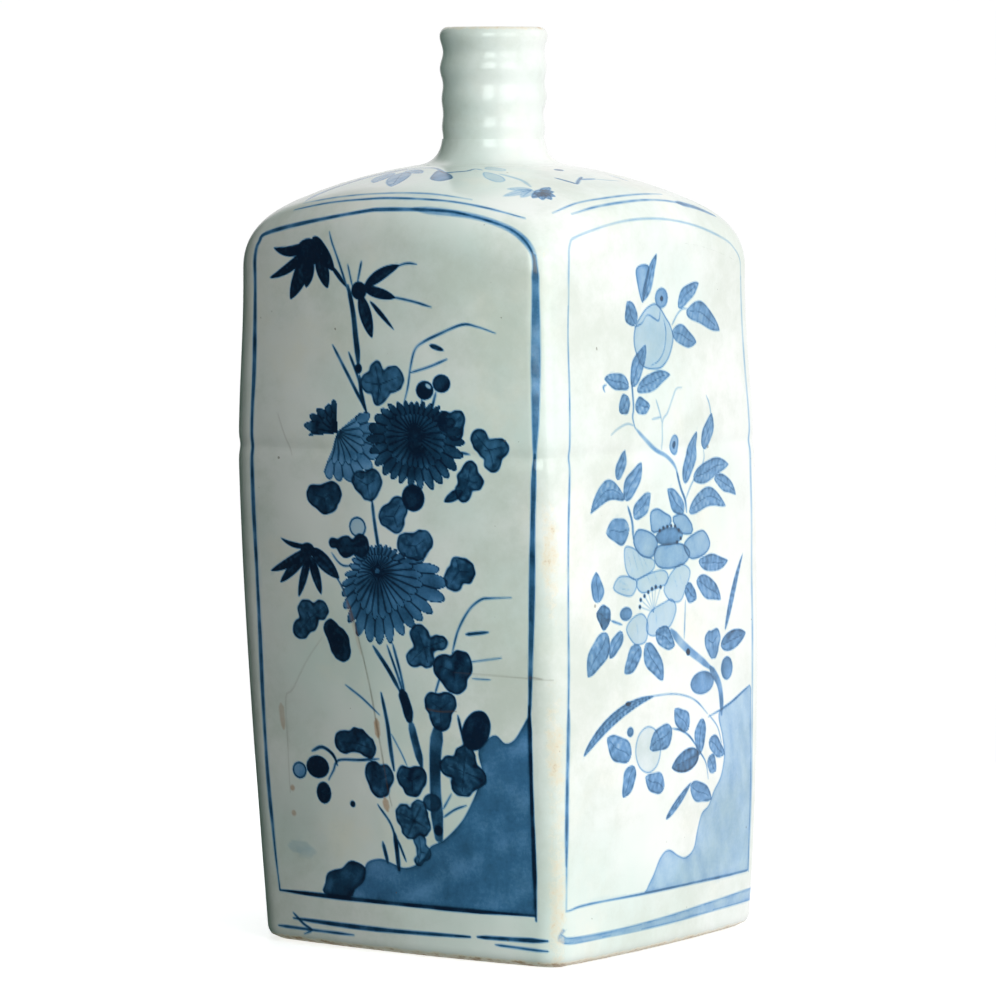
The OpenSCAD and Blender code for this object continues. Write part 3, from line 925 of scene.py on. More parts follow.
    # The lower flower, of the palest wash.
    for petal in ([(-23, 119.5), (-22.5, 113), (-18, 110), (-9, 112), (-8, 115), (-14, 117), (-19, 119.5)],
                  [(-29, 108.5), (-26, 111.5), (-20, 111), (-17, 109), (-20, 105.5), (-26, 106.5)],
                  [(-17, 110), (-5, 112), (-1, 110.5), (-1.5, 108), (-5, 107), (-15, 106)],
                  [(-3, 107), (1, 111), (6, 113), (11, 110.5), (8, 105), (5, 102), (0, 102.5), (-3, 105)],
                  [(-13, 95), (-11, 100), (-3, 102.5), (1, 103), (3, 100), (0, 95.5), (-5, 93.5),
                   (-10, 93)],
                  [(-23, 96), (-20, 92), (-17, 91), (-13, 92), (-12, 97), (-15, 100), (-20, 99)]):
        art.patch(petal, 0.22, 0.42, 0.1)
    art.strokes([[(-21.5, 118), (-19.5, 113)], [(-19, 118.6), (-16.6, 112.6)], [(-16.5, 118), (-13.6, 113)],
                 [(-14, 116.6), (-11.4, 113)], [(-26, 110.4), (-22, 108.6)], [(-26, 108), (-21, 107.4)],
                 [(-12, 111), (-10, 108.4)], [(-8, 111.2), (-6.6, 108.6)], [(2, 109.6), (4, 105.6)],
                 [(5, 110.6), (6.4, 106.6)], [(-8, 100.6), (-7.4, 96)], [(-4, 101.6), (-3.6, 96.6)],
                 [(-18, 98), (-17, 93.6)]], 0.35, 0.32)
    for dot in [(-16, 102), (-15.5, 104), (-13.5, 105), (-11.5, 106), (-9.5, 106.8), (-7.5, 107.2),
                (-5, 107)]:
        art.blob(dot, (0.6, 0.55), 0.8)
        art.stroke([(-9, 100), dot], 0.3, 0.4)
    blades(art, [((8, 106), (14.2, 102), 5.6), ((14.5, 107.5), (28.8, 100.8), 6.6, 0.8),
                 ((16, 113), (33.8, 112), 5.2, -0.8), ((-32, 95.5), (-41.8, 83.7), 8),
                 ((-25, 95.5), (-31.2, 88.2), 4.8), ((-16, 90.5), (-24.2, 83.2), 6.2),
                 ((-13.5, 91), (-4.7, 79.6), 7.2), ((-8, 94), (1.8, 89.3), 6.6)], 0.52, 0.07)
    art.leaf((-36.2, 104.6), (-37, 113.6), 5.8, 0.5, wave=0.06)
    art.leaf((-30.4, 99.6), (-37, 101.6), 7, 0.64, wave=0.08)
    art.blob((-23, 100.5), (3, 2), 0.5)
    art.stroke([(-30, 99), (-25, 97.5)], 0.8, 0.55)
    art.stroke([(0, 94), (5, 90), (10, 87), (15, 84.5), (20, 82), (24, 80)], 2.4, 0.46)
    art.stroke([(8, 102), (7, 91)], 0.5, 0.5)
    art.blob((9, 86.8), (1.1, 1), 0.9)
    art.lobed([(21.6, 89, 3.2, 3.4), (25.6, 89.6, 3, 3.2), (24, 85.8, 3.2, 2.8)], 0.5)
    art.leaf((28.5, 87), (43.8, 89.6), 6, 0.56)
    art.blob((32, 80), (3.5, 3.5), 0.52)
    art.leaf((31, 91.5), (43.2, 113.4), 2.6, 0.52, 0.6)
    # Leaves under the flowers.
    art.blob((17, 77), (7, 3.4), 0.48)
    art.stroke([(22, 81), (27, 76), (28.5, 71), (28.5, 66.5)], 2.8, 0.52)
    art.leaf((-43.8, 61), (-9, 75.4), 3.6, 0.56, 3.4)
    art.stroke([(-11, 75.5), (0, 75.2), (8, 73.8), (14, 71.5), (20, 67.5)], 0.5, 0.5)
    art.blob((-22.5, 74.3), (1.4, 0.6), 0.85)
    blades(art, [((-21.5, 58.5), (-32.8, 65.2), 8), ((-20, 56), (-25.2, 47.2), 6),
                 ((0, 65), (-11.8, 60), 7.6), ((9, 64), (1.4, 70.6), 6.6), ((-4.5, 48), (-14.3, 52.1), 6.6),
                 ((21, 59.5), (30.3, 54.4), 5.6), ((10, 47), (22.8, 41.8), 6.2)], 0.52, 0.07)
    art.leaf((15, 56), (-0.3, 53.4), 6.8, 0.66)
    art.blob((-21.5, 66), (1.6, 1.4), 0.5)
    art.blob((-12.5, 60), (6.6, 6.8), 0.09, rim=0.5)
    art.leaf((17, 66.4), (14.6, 55.4), 6.4, 0.52, wave=0.06)
    art.leaf((20.6, 54.4), (25, 49.8), 5.4, 0.52, wave=0.06)
    art.stroke([(0, 65), (5, 64), (10, 61.5), (15, 57), (19, 53), (20.5, 48)], 0.65, 0.6)
    art.leaf((-3, 38.5), (10.5, 48), 2.7, 0.54)
    art.stroke([(21, 67), (26, 63), (28.5, 58)], 0.5, 0.5)
    art.patch([(46.8, 73), (44, 73), (35, 70), (27, 67), (29, 60), (30, 54), (28, 48), (24, 44), (21, 40),
               (17, 38), (14.5, 33), (12.5, 28), (8, 26), (4, 27), (0, 29), (-3, 29), (-6, 27), (-9, 23),
               (-12.5, 19), (-11, 17.8), (20, 17.7), (44, 17.5), (46.6, 17.5), (46.8, 20), (47, 40),
               (46.9, 66)], 0.32, 0.35, 0.1)
    art.strokes([[(42, 68), (39, 54), (41, 40), (38, 24)], [(34, 62), (35, 48), (33, 34), (35, 21)],
                 [(26, 40), (25, 31), (27, 20)], [(14, 28), (16, 23), (14, 19)]], 2.4, 0.08)
    art.stroke([(44.5, 73), (33, 69), (20.5, 66.5)], 0.7, 0.55)


def paint_cracks(art: Painting) -> None:
    """Lays the fired hairlines of one side."""
    art.stroke([(-16, 108), (-13, 101), (-10, 91), (-7, 78), (-5, 66), (-3.5, 57), (-2, 48), (-1, 44)],
               0.4, 0.75)
    art.stroke([(-24, 92), (-30, 85), (-36, 76), (-39, 73), (-39.3, 60), (-39, 45)], 0.32, 0.35)
    art.stroke([(-38, 157), (-35.6, 151), (-33, 145)], 0.3, 0.35)
    art.stroke([(47.5, 84.6), (52, 84)], 0.4, 0.6)
    art.stroke([(12, 73.4), (17, 72.8), (23, 73.2)], 0.4, 0.7)
    art.stroke([(23, 84.4), (40, 84.2), (57, 83.7)], 0.25, 0.45)


def paint_stains(art: Painting) -> None:
    """Lays the warm stains of one side."""
    art.stroke([(-5.2, 69), (-4.9, 64)], 2.2, 0.8)
    art.stroke([(-3.4, 46), (-2.6, 42.6)], 2, 0.75)
    art.stroke([(-41, 71), (-40.6, 64)], 2.2, 0.5)
    art.stroke([(-14, 103), (-12, 97), (-9.6, 88)], 1.4, 0.3)
    for spot in [(-38, 46.5), (-38, 39)]:
        art.blob(spot, (0.8, 0.8), 0.6)


def paint_shoulder_lines(art: Painting, top: Top, front: bool) -> None:
    """Lays the lines that run round the shoulder's roll, the front's or the right side's."""
    if front:
        art.stroke(top([(-40, 0.75), (-25, 0.71), (-10, 0.69), (0, 0.7), (20, 0.75), (35, 0.8),
                        (50, 0.86)]), 0.9, 0.5)
        art.stroke(top([(-40, 0.9), (-20, 0.82), (0, 0.82), (15, 0.86), (30, 0.9)]), 0.7, 0.4)
        return
    art.stroke(top([(-40, 0.75), (-25, 0.7), (0, 0.67), (20, 0.67), (40, 0.67)]), 0.9, 0.46)
    art.stroke(top([(18, 0.67), (30, 0.67), (42, 0.67)]), 2.0, 0.5)
    art.stroke(top([(-48, 0.93), (-35, 0.9), (-20, 0.82), (0, 0.8), (15, 0.84)]), 0.7, 0.5)


def paint_front_spray(art: Painting) -> None:
    """Lays the flowering branch on the shoulder above the front, in plan."""
    art.patch([(-36, -48), (-33, -41.5), (-29, -37), (-24.8, -32.6), (-17, -29), (-15, -26.5), (-17, -25),
               (-24, -28), (-31, -33.5), (-37, -42)], 0.5, 0.3)
    art.stroke([(-36, -48.6), (-33, -42), (-29, -37.4), (-24.8, -33)], 1.0, 0.6)
    art.stroke([(-17.5, -29.4), (-14.3, -26.3), (-8.7, -26.5), (-5.1, -27.1), (-0.9, -30), (3, -32.9),
                (5.6, -31.7), (8.4, -29.4), (8.9, -26.2), (11.6, -26.5)], 1.1, 0.6)
    blades(art, [((-18.4, -30.5), (-15.4, -42.6), 6.5), ((-12.7, -31.6), (-5.6, -47.6), 7),
                 ((-13.3, -28.8), (-4.2, -34.4), 4.6)], 0.46)
    art.patch([(-1, -30.8), (0.8, -36), (3.2, -40.4), (7.4, -41.4), (9.2, -38.2), (6, -34.6), (2, -32.4)],
              0.5, 0.4)
    art.patch([(14, -28.6), (17.6, -33.4), (22.8, -35.2), (24, -32.6), (20, -29.4)], 0.2, 0.3)
    art.patch([(10.6, -21.6), (12, -25), (17.4, -24.4), (16.6, -21.8)], 0.16, 0.2)
    art.stroke([(18.9, -27.8), (24.7, -28.6), (28.1, -29.4), (32.8, -32.2)], 1.1, 0.28)
    for tip in [(31, -43.6), (35.4, -41), (28.6, -38.4)]:
        art.leaf((34.4, -33.8), tip, 3.4, 0.26)
    for tip in [(41.9, -33), (42.4, -35.8), (40.8, -38), (38, -39), (36.6, -28), (39.4, -30)]:
        art.leaf((37.2, -33.4), tip, 3.0, 0.5)
    art.blob((37.8, -33.6), (2.4, 2.8), 0.4, rim=0.45)


def paint_right_spray(art: Painting) -> None:
    """Lays the twig on the shoulder above the right side, in plan."""
    art.stroke([(32.2, -18.8), (37, -18.2), (39.2, -17.9)], 1.3, 0.66)
    art.stroke([(39.2, -17.9), (36.9, -13.4), (35, -9)], 1.2, 0.64)
    art.stroke([(36.6, -12.6), (37.2, -9.6), (37.6, -6)], 1.2, 0.5)
    art.blob((26.4, -8.3), (1.2, 1.6), 0.62)
    art.stroke([(37.6, -7.1), (39.4, -2), (40.2, 3.3)], 0.5, 0.3)
    art.stroke([(33.4, 8), (39.5, 8.5)], 1.0, 0.5)


@dataclass(frozen=True)
class SidePaint:
    """What one side carries: its painting, its hairlines and its stains."""

    pigment: Painting
    cracks: Painting
    stains: Painting


@dataclass
class Decoration:
    """All that is painted on the bottle, and where its glaze is worn.

    Args:
        form: The bottle's skin.
        back_spray: Repeat of the spray on the far half of the shoulder, turned half round.
        corner_worn: How bare the far corners are, and how bare the near one is at least.
        worst_places: Level and reach of the near corner's barest places.
    """

    form: BottleForm
    sides: dict[Side, SidePaint] = field(default_factory=dict)
    spray: Painting = field(default_factory=Painting)
    back_spray: Painting = field(default_factory=lambda: Painting(seed=5))
    corner_worn: Two = (0.33, 0.3)
    worst_places: tuple[Two, ...] = ((120, 14), (63, 15), (18, 22), (207, 4))
    worst_worn: float = 0.34
    corner_top: float = 212
    foot_worn: float = 0.8
    seam_worn: float = 0.16

    def __post_init__(self) -> None:
        """Paints the four sides and the shoulder."""
        for side in Side:
            front = side in (Side.FRONT, Side.BACK)
            again = side in (Side.BACK, Side.LEFT)
            hand = {"flip": -1 if again else 1, "drift": 0.5 if again else 0}
            art = Painting(**hand, seed=11 + side, load=1.16 if front else 1.0)
            cracks, stains = Painting(**hand, seed=31 + side), Painting(**hand, seed=41 + side)
            top = self._top_of(side, hand["flip"])
            (paint_chrysanthemums if front else paint_peonies)(art, top)
            paint_shoulder_lines(art, top, front)
            if front:
                paint_cracks(cracks)
                paint_stains(stains)
            self.sides[side] = SidePaint(art, cracks, stains)
        for spray in (self.spray, self.back_spray):
            paint_front_spray(spray)
            paint_right_spray(spray)

    def _top_of(self, side: Side, flip: int) -> Top:
        """Makes the measure that finds points on one side's roll."""
        half = float(self.form.side_run(np.array(self.form.straight_level))[2])

        def top(points: Points) -> Points:
            """Turns run and share of the roll into run and rise."""
            return [(s, float(self.form.joint(side, np.array(s * flip / half))) + e * self.form.roll_run)
                    for s, e in points]

        return top

    def plan_pigment(self, x: Array, y: Array) -> Array:
        """Pigment of the sprays at plan positions."""
        return np.maximum(self.spray.pigment(x, y), self.back_spray.pigment(-x, -y))

    def wear(self, side: Side, t: Array, rise: Array, run: Array) -> Array:
        """How far the glaze is worn thin.

        Args:
            side: Which side.
            t: Position along it.
            rise: Height up the wall and over the shoulder.
            run: Distance from the side's middle.

        Returns:
            0 for whole glaze, 1 for bare clay.
        """
        _, _, half = self.form.side_run(np.minimum(rise, self.form.straight_level))
        edge = soft_step((np.abs(run) - half) + 3.2, 2.6)
        near = np.where(side == Side.FRONT, t > 0, np.where(side == Side.RIGHT, t < 0, False))
        worst = sum(np.exp(-((rise - level) / reach) ** 2) for level, reach in self.worst_places)
        far_worn, near_worn = self.corner_worn
        corner = edge * np.where(near, near_worn + self.worst_worn * np.clip(worst, 0, 1), far_worn)
        corner = corner * np.clip((self.corner_top - rise) / 10, 0, 1)
        foot = self.foot_worn * soft_step(2.2 - rise, 1.2)
        seam = self.seam_worn * np.exp(-((rise - self.form.seam) / 1.1) ** 2)
        return np.clip(np.maximum.reduce([corner, foot, seam]), 0, 1)


def only(obj: Object) -> None:
    """Makes one object the only selected and the active one."""
    bpy.ops.object.select_all(action="DESELECT")
    obj.select_set(True)
    bpy.context.view_layer.objects.active = obj


def edit_picked(obj: Object, mode: str, picked: Array,
                work: Callable[[], object]) -> None:
    """Selects parts of a mesh by flags and runs an edit-mode operator on them.

    Args:
        obj: The object.
        mode: VERT, EDGE or FACE.
        picked: A flag for each part of that kind.
        work: Runs the operator.
    """
    only(obj)
    mesh = obj.data
    bpy.ops.object.mode_set(mode="EDIT")
    bpy.ops.mesh.select_mode(type=mode)
    bpy.ops.mesh.select_all(action="DESELECT")
    bpy.ops.object.mode_set(mode="OBJECT")
    parts = {"VERT": mesh.vertices, "EDGE": mesh.edges, "FACE": mesh.polygons}[mode]
    parts.foreach_set("select", np.asarray(picked, bool))
    bpy.ops.object.mode_set(mode="EDIT")
    work()
    bpy.ops.object.mode_set(mode="OBJECT")


def corners_of(mesh: Mesh) -> Array:
    """Positions of a mesh's vertices, one row each."""
    flat = np.empty(len(mesh.vertices) * 3)
    mesh.vertices.foreach_get("co", flat)
    return flat.reshape(-1, 3)


def face_facts(mesh: Mesh) -> tuple[Array, Array, Array, Array]:
    """Middles, normals, areas and corner counts of a mesh's faces."""
    n = len(mesh.polygons)
    middle, normal, area, count = np.empty(n * 3), np.empty(n * 3), np.empty(n), np.empty(n, int)
    mesh.polygons.foreach_get("center", middle)
    mesh.polygons.foreach_get("normal", normal)
    mesh.polygons.foreach_get("area", area)
    mesh.polygons.foreach_get("loop_total", count)
    return middle.reshape(-1, 3), normal.reshape(-1, 3), area, count


@dataclass(frozen=True)
class Slab:
    """A flat slab of clay that is cut finer where its painting needs it, then bent onto the form.

    Args:
        name: Name of the finished piece.
        span: How long it is; one that goes all the way round is joined to itself.
        columns: Cells along it before it is cut finer.
        rows: Cells across it before it is cut finer.
        bend: Gives the finished points for position along, across and depth.
        paint: Gives the attributes for position along and across.
        coarse_ends: Whether the cells at both ends all keep the same size.
        levels: How often a cell may be cut in four.
        first_rows: Rows at the lower edge, and last_rows at the upper, that are cut for their shape.
        cell: Side of a cell before it is cut, in metres, as is thick, the thickness.
        limits: Change of the paint across a cell that has it cut, for each cut.
        shaped: How often a cell is cut for its shape.
        corner_from: Position along a side from which its cells are cut so.
    """

    name: str
    span: Span
    columns: int
    rows: int
    bend: Callable[[Array, Array, Array], Array]
    paint: Callable[[Array, Array], dict[str, Array]]
    coarse_ends: bool = False
    levels: int = 4
    first_rows: int = 0
    last_rows: int = 0
    cell: float = 0.0058
    thick: float = 0.0065
    limits: tuple[float, ...] = (0.03, 0.05, 0.08, 0.13)
    shaped: int = 2
    corner_from: float = 0.85
    probe: float = 0.004
    weld: float = 0.00002

    def build(self) -> Object:
        """Makes the piece."""
        obj = self._roll_out()
        self._cut_finer(obj)
        if self.span == Span.ALL_ROUND:
            _, normal, _, _ = face_facts(obj.data)
            edit_picked(obj, "FACE", np.abs(normal[:, 0]) > FACING,
                        lambda: bpy.ops.mesh.delete(type="ONLY_FACE"))
        self._bend_on(obj)
        return obj

    def _roll_out(self) -> Object:
        """Makes the flat slab with its first grid of cells."""
        size = (self.columns * self.cell, self.thick, self.rows * self.cell)
        bpy.ops.object.select_all(action="DESELECT")
        bpy.ops.mesh.primitive_cube_add(size=1, location=(0, 0, 0))
        obj = bpy.context.object
        obj.name = obj.data.name = self.name
        obj.scale = size
        bpy.ops.object.transform_apply(location=False, rotation=False, scale=True)
        for axis, count in ((0, self.columns), (2, self.rows)):
            ends = np.empty(len(obj.data.edges) * 2, int)
            obj.data.edges.foreach_get("vertices", ends)
            rows = corners_of(obj.data)[ends.reshape(-1, 2)]
            run = np.abs(rows[:, 0] - rows[:, 1])
            cuts = count - 1
            edit_picked(obj, "EDGE", run[:, axis] > FACING * run.sum(axis=1),
                        lambda: bpy.ops.mesh.subdivide(number_cuts=cuts))
        return obj

    def _place(self, points: Array) -> tuple[Array, Array, Array]:
        """Position along in half-sides, across from 0 to 1, and depth from 0 to 1."""
        along = points[:, 0] / (self.columns * self.cell) * self.span
        across = points[:, 2] / (self.rows * self.cell) + 0.5
        return along, np.clip(across, 0, 1), np.clip(points[:, 1] / self.thick + 0.5, 0, 1)

    def _cut_finer(self, obj: Object) -> None:
        """Cuts the outer cells in four, again and again, where the paint changes across them."""
        levels = self.levels
        fine = 2**levels
        along = np.linspace(-self.span / 2, self.span / 2, self.columns * fine + 1)
        across = np.linspace(0, 1, self.rows * fine + 1)
        grid_a, grid_c = np.meshgrid(along, across)
        marks = self.paint(grid_a.ravel(), grid_c.ravel())
        detail = [marks[key].reshape(grid_a.shape) for key in COAT]
        for level in range(levels):
            block = fine >> level
            spread = np.max([self._spread(d, block) for d in detail], axis=0)
            middle, normal, area, count = face_facts(obj.data)
            size = self.cell / 2**level
            at_column = middle[:, 0] / size + self.columns * 2**level / 2
            at_row = middle[:, 2] / size + self.rows * 2**level / 2
            column = np.clip(at_column.astype(int), 0, spread.shape[1] - 1)
            row = np.clip(at_row.astype(int), 0, spread.shape[0] - 1)
            square = (count == 4) & (np.abs(area / size**2 - 1) < 0.05)
            whole = (normal[:, 1] < -FACING) & square
            wanted = spread[row, column] > self.limits[level]
            share = np.abs(middle[:, 0] / (self.columns * self.cell) * self.span)
            corner = np.abs((share + self.span / 2) % 2 - 1) if self.span == Span.ALL_ROUND else share
            curved = ((corner > self.corner_from) | (at_row < self.first_rows * 2**level)
                      | (at_row > (self.rows - self.last_rows) * 2**level))
            wanted |= (level < self.shaped) & curved
            if self.coarse_ends:
                at_end = share > self.span / 2 - self.span / self.columns
                wanted = np.where(at_end, level < self.shaped, wanted)
            edit_picked(obj, "FACE", whole & wanted,
                        lambda: bpy.ops.mesh.subdivide(number_cuts=1, ngon=True))

    @staticmethod
    def _spread(values: Array, block: int) -> Array:
        """Highest less lowest value in each block of cells, its edges included."""
        rows, columns = (values.shape[0] - 1) // block, (values.shape[1] - 1) // block
        high, low = np.full((rows, columns), -1.0), np.full((rows, columns), 2.0)
        for i in range(block + 1):
            for j in range(block + 1):
                part = values[i:i + rows * block:block, j:j + columns * block:block]
                high, low = np.maximum(high, part[:rows, :columns]), np.minimum(low, part[:rows, :columns])
        return high - low

    def _bend_on(self, obj: Object) -> None:
        """Bends the flat slab onto the form and gives it its attributes and normals."""
        mesh = obj.data
        outer = face_facts(mesh)[1][:, 1] < -FACING
        along, across, depth = self._place(corners_of(mesh))
        mesh.vertices.foreach_set("co", (self.bend(along, across, depth) * MM).ravel())
        mesh.update()
        on_skin = depth < 0.01
        for key, values in self.paint(along, across).items():
            mesh.attributes.new(key, "FLOAT", "POINT").data.foreach_set(
                "value", np.where(on_skin, values, 0).astype(np.float32))
        mesh.polygons.foreach_set("use_smooth", np.ones(len(mesh.polygons), bool))
        mesh.update()
        _, normal, _, count = face_facts(mesh)
        ends = np.empty(len(mesh.loops), int)
        mesh.loops.foreach_get("vertex_index", ends)
        of_skin = np.repeat(outer, count)
        lie = self._lie(along, across)
        loops = np.where(of_skin[:, None], lie[ends], np.repeat(normal, count, axis=0))
        if self.span == Span.ALL_ROUND:
            loops = self._join_ends(obj, along, loops)
        mesh.normals_split_custom_set(loops.astype(float).tolist())

    def _lie(self, along: Array, across: Array) -> Array:
        """Normals of the form's skin, so that cells of different size shade alike."""
        skin = np.zeros(len(along))
        way_a = (self.bend(np.minimum(along + self.probe, self.span / 2), across, skin)
                 - self.bend(np.maximum(along - self.probe, -self.span / 2), across, skin))
        way_c = (self.bend(along, np.minimum(across + self.probe, 1), skin)
                 - self.bend(along, np.maximum(across - self.probe, 0), skin))
        lie = np.cross(way_a, way_c)
        return lie / (np.linalg.norm(lie, axis=1, keepdims=True) + 1e-12)

    def _join_ends(self, obj: Object, along: Array, loops: Array) -> Array:
        """Joins both ends of the slab and gives its corner normals in the joined order."""
        mesh = obj.data
        mesh.attributes.new("lie", "FLOAT_VECTOR", "CORNER").data.foreach_set(
            "vector", loops.astype(np.float32).ravel())
        edit_picked(obj, "VERT", np.abs(along) > self.span / 2 - 1e-4,
                    lambda: bpy.ops.mesh.remove_doubles(threshold=self.weld))
        kept = np.empty(len(mesh.loops) * 3, np.float32)
        mesh.attributes["lie"].data.foreach_get("vector", kept)
        mesh.attributes.remove(mesh.attributes["lie"])
        return kept.reshape(-1, 3)


class Wire:
    """A value that runs through a material; sums on it add the nodes that work them out."""

    def __init__(self, finish: "Finish", socket: bpy.types.NodeSocket) -> None:
        """Keeps the finish that the value belongs to and the socket it comes from."""
        self.finish = finish
        self.socket = socket

    def _math(self, operation: str, *values: object) -> "Wire":
        """Adds a Math node."""
        return self.finish.node("ShaderNodeMath", {"operation": operation}, dict(enumerate(values)))

    def __add__(self, other: object) -> "Wire":
        """Sum of the two."""
        return self._math("ADD", self, other)

    def __sub__(self, other: object) -> "Wire":
        """This less the other."""
        return self._math("SUBTRACT", self, other)

    def __rsub__(self, other: object) -> "Wire":
        """The other less this."""
        return self._math("SUBTRACT", other, self)

    def __mul__(self, other: object) -> "Wire":
        """Product of the two."""
        return self._math("MULTIPLY", self, other)

    __radd__ = __add__
    __rmul__ = __mul__

    def between(self, low: float, high: float) -> "Wire":
        """Smooth step from 0 at low to 1 at high."""
        return self.finish.node("ShaderNodeMapRange", {"interpolation_type": "SMOOTHSTEP"},
                                {"Value": self, "From Min": low, "From Max": high}, "Result")


def linear(*values: float) -> Four:
    """Light of a colour given as it shows on a screen, from 0 to 255."""
    parts = [v / 255 for v in values]
    return (*(p / 12.92 if p <= 0.04045 else ((p + 0.055) / 1.055) ** 2.4 for p in parts), 1.0)


class Finish:
    """The nodes of a material or of the room's light, under construction.

    Args:
        owner: The material or world.
        space: Which coordinates its patterns lie in.
    """

    def __init__(self, owner: Material | bpy.types.World, space: str = "Object") -> None:
        """Clears the owner's nodes."""
        self.owner = owner
        owner.use_nodes = True
        self.tree = owner.node_tree
        self.tree.nodes.clear()
        self.place = self.node("ShaderNodeTexCoord", {}, {}, space)

    def node(self, kind: str, settings: dict, values: dict, out: str | int | None = 0) -> Wire | None:
        """Adds a node.

        Args:
            kind: Its type.
            settings: Its own settings, set first; "stops" are a ramp's stops, from 0 to 1.
            values: What each input socket is set to or linked with.
            out: Which output is wanted, or None for a node without any.

        Returns:
            That output.
        """
        made = self.tree.nodes.new(kind)
        for key, value in settings.items():
            if key != "stops":
                setattr(made, key, value)
                continue
            ramp = made.color_ramp
            for at, _ in value[1:-1]:
                ramp.elements.new(at)
            for stop, (at, colour) in zip(ramp.elements, value):
                stop.position, stop.color = at, colour
        for key, value in values.items():
            if isinstance(value, Wire):
                self.tree.links.new(value.socket, made.inputs[key])
            else:
                made.inputs[key].default_value = value
        return None if out is None else Wire(self, made.outputs[out])

    def noise(self, scale: float, detail: float = 3, rough: float = 0.5, shift: float = 0) -> Wire:
        """Clouds of about 1/scale metres, from 0 to 1."""
        moved = self.node("ShaderNodeMapping", {},
                          {"Vector": self.place, "Location": (shift, shift, -shift)})
        return self.node("ShaderNodeTexNoise", {}, {"Vector": moved, "Scale": scale, "Detail": detail,
                                                    "Roughness": rough})

    def attribute(self, name: str) -> Wire:
        """A value that the mesh carries."""
        return self.node("ShaderNodeAttribute", {"attribute_name": name}, {}, "Fac")

    def ramp(self, value: Wire, stops: Sequence[tuple]) -> Wire:
        """Colours along a value."""
        return self.node("ShaderNodeValToRGB", {"stops": stops}, {"Fac": value}, "Color")

    def mix(self, share: object, first: object, second: object, how: str = "MIX") -> Wire:
        """Mixes two colours."""
        return self.node("ShaderNodeMix", {"data_type": "RGBA", "blend_type": how},
                         {"Factor": share, 6: first, 7: second}, 2)

    def bumps(self, height: Wire, distance: float, strength: float = 1.0) -> Wire:
        """Normals of a fine relief."""
        return self.node("ShaderNodeBump", {}, {"Height": height, "Distance": distance,
                                                "Strength": strength})

    def close(self, varied: dict, fixed: dict) -> Material:
        """Adds the shader.

        Args:
            varied: Sockets fed by values that change over the surface.
            fixed: Sockets set to one value.

        Returns:
            The finished material.
        """
        shader = self.node("ShaderNodeBsdfPrincipled", {}, {**fixed, **varied}, "BSDF")
        self.node("ShaderNodeOutputMaterial", {}, {"Surface": shader}, None)
        return self.owner


@dataclass(frozen=True)
class GlazeFinish:
    """Porcelain glaze, with cobalt under it and worn places. Colours are from 0 to 255.

    Args:
        name: Name of the material.
        milk: Its ground colour; cool, warm and smoke are clouds in it.
        clay: Where it is worn thin; rust is dirt in the barest places.
        cobalt: Its tint under more and more pigment.
        gloss: Roughness of the whole glaze; bare_gloss is added where it is worn.
    """

    name: str
    milk: tuple = (240, 241, 238)
    cool: tuple = (222, 233, 227)
    warm: tuple = (241, 238, 226)
    smoke: tuple = (207, 214, 203)
    clay: tuple = (234, 219, 192)
    rust: tuple = (166, 122, 78)
    speck_colour: tuple = (96, 88, 66)
    stain_colour: tuple = (176, 120, 62)
    crack_colour: tuple = (92, 70, 48)
    cobalt: tuple = ((0.0, (255, 255, 255)), (0.14, (216, 231, 243)), (0.3, (182, 212, 240)),
                     (0.47, (110, 162, 217)), (0.6, (68, 122, 172)), (0.8, (28, 70, 106)),
                     (1.0, (9, 33, 62)))
    gloss: float = 0.13
    bare_gloss: float = 0.36
    relief: float = 0.00028
    painted: bool = True

    def make(self) -> Material:
        """Makes the material."""
        f = Finish(bpy.data.materials.new(self.name))
        clouds = f.noise(22, 3)
        colour = f.mix(clouds.between(0.35, 0.7), linear(*self.milk), linear(*self.cool))
        colour = f.mix(f.noise(35, 4, 0.6, 3.1).between(0.5, 0.8) * 0.7, colour, linear(*self.warm))
        colour = f.mix(f.noise(13, 7, 0.72, 7.9).between(0.44, 0.66) * 0.7, colour, linear(*self.smoke))
        specks = f.noise(420, 2, 0.4, 1.7).between(0.775, 0.81)
        grain = f.noise(900, 4, 0.65, 0.6)
        worn = f.noise(260, 5, 0.7, 2.2)
        if self.painted:
            wash = f.noise(150, 5, 0.7, 5.3)
            cobalt = f.attribute("cobalt") * (0.74 + 0.3 * wash + 0.24 * grain)
            tint = f.ramp(cobalt, [(at, linear(*shade)) for at, shade in self.cobalt])
            colour = f.mix(1.0, colour, tint, "MULTIPLY")
            stain = f.attribute("stain") * (0.4 + 0.8 * worn)
            colour = f.mix(stain, colour, linear(*self.stain_colour))
        wear = f.attribute("wear")
        colour = f.mix(specks * 0.55, colour, linear(*self.speck_colour))
        bare = (wear + (worn - 0.5) * 0.9).between(0.34, 0.78)
        dirt = (wear + (worn - 0.5) * 1.2).between(0.66, 0.98)
        earth = f.mix(dirt, linear(*self.clay), linear(*self.rust))
        colour = f.mix(bare * (0.5 + 0.6 * worn), colour, earth)
        crack = f.attribute("crack")
        colour = f.mix(crack * (0.5 + 0.6 * worn), colour, linear(*self.crack_colour))
        rough = self.gloss + 0.1 * f.noise(60, 3, 0.6, 4.4) + self.bare_gloss * bare
        relief = f.noise(38, 2, 0.5, 9.1) * 3.2 + f.noise(140, 3, 0.5, 7.7) * 0.7 + grain * 0.08
        relief = relief - bare * 0.2 - crack * 0.5 - specks * 0.3
        normal = f.bumps(relief, self.relief, 0.6)
        return f.close({"Base Color": colour, "Roughness": rough, "Normal": normal},
                       {"IOR": 1.5, "Specular IOR Level": 0.5})


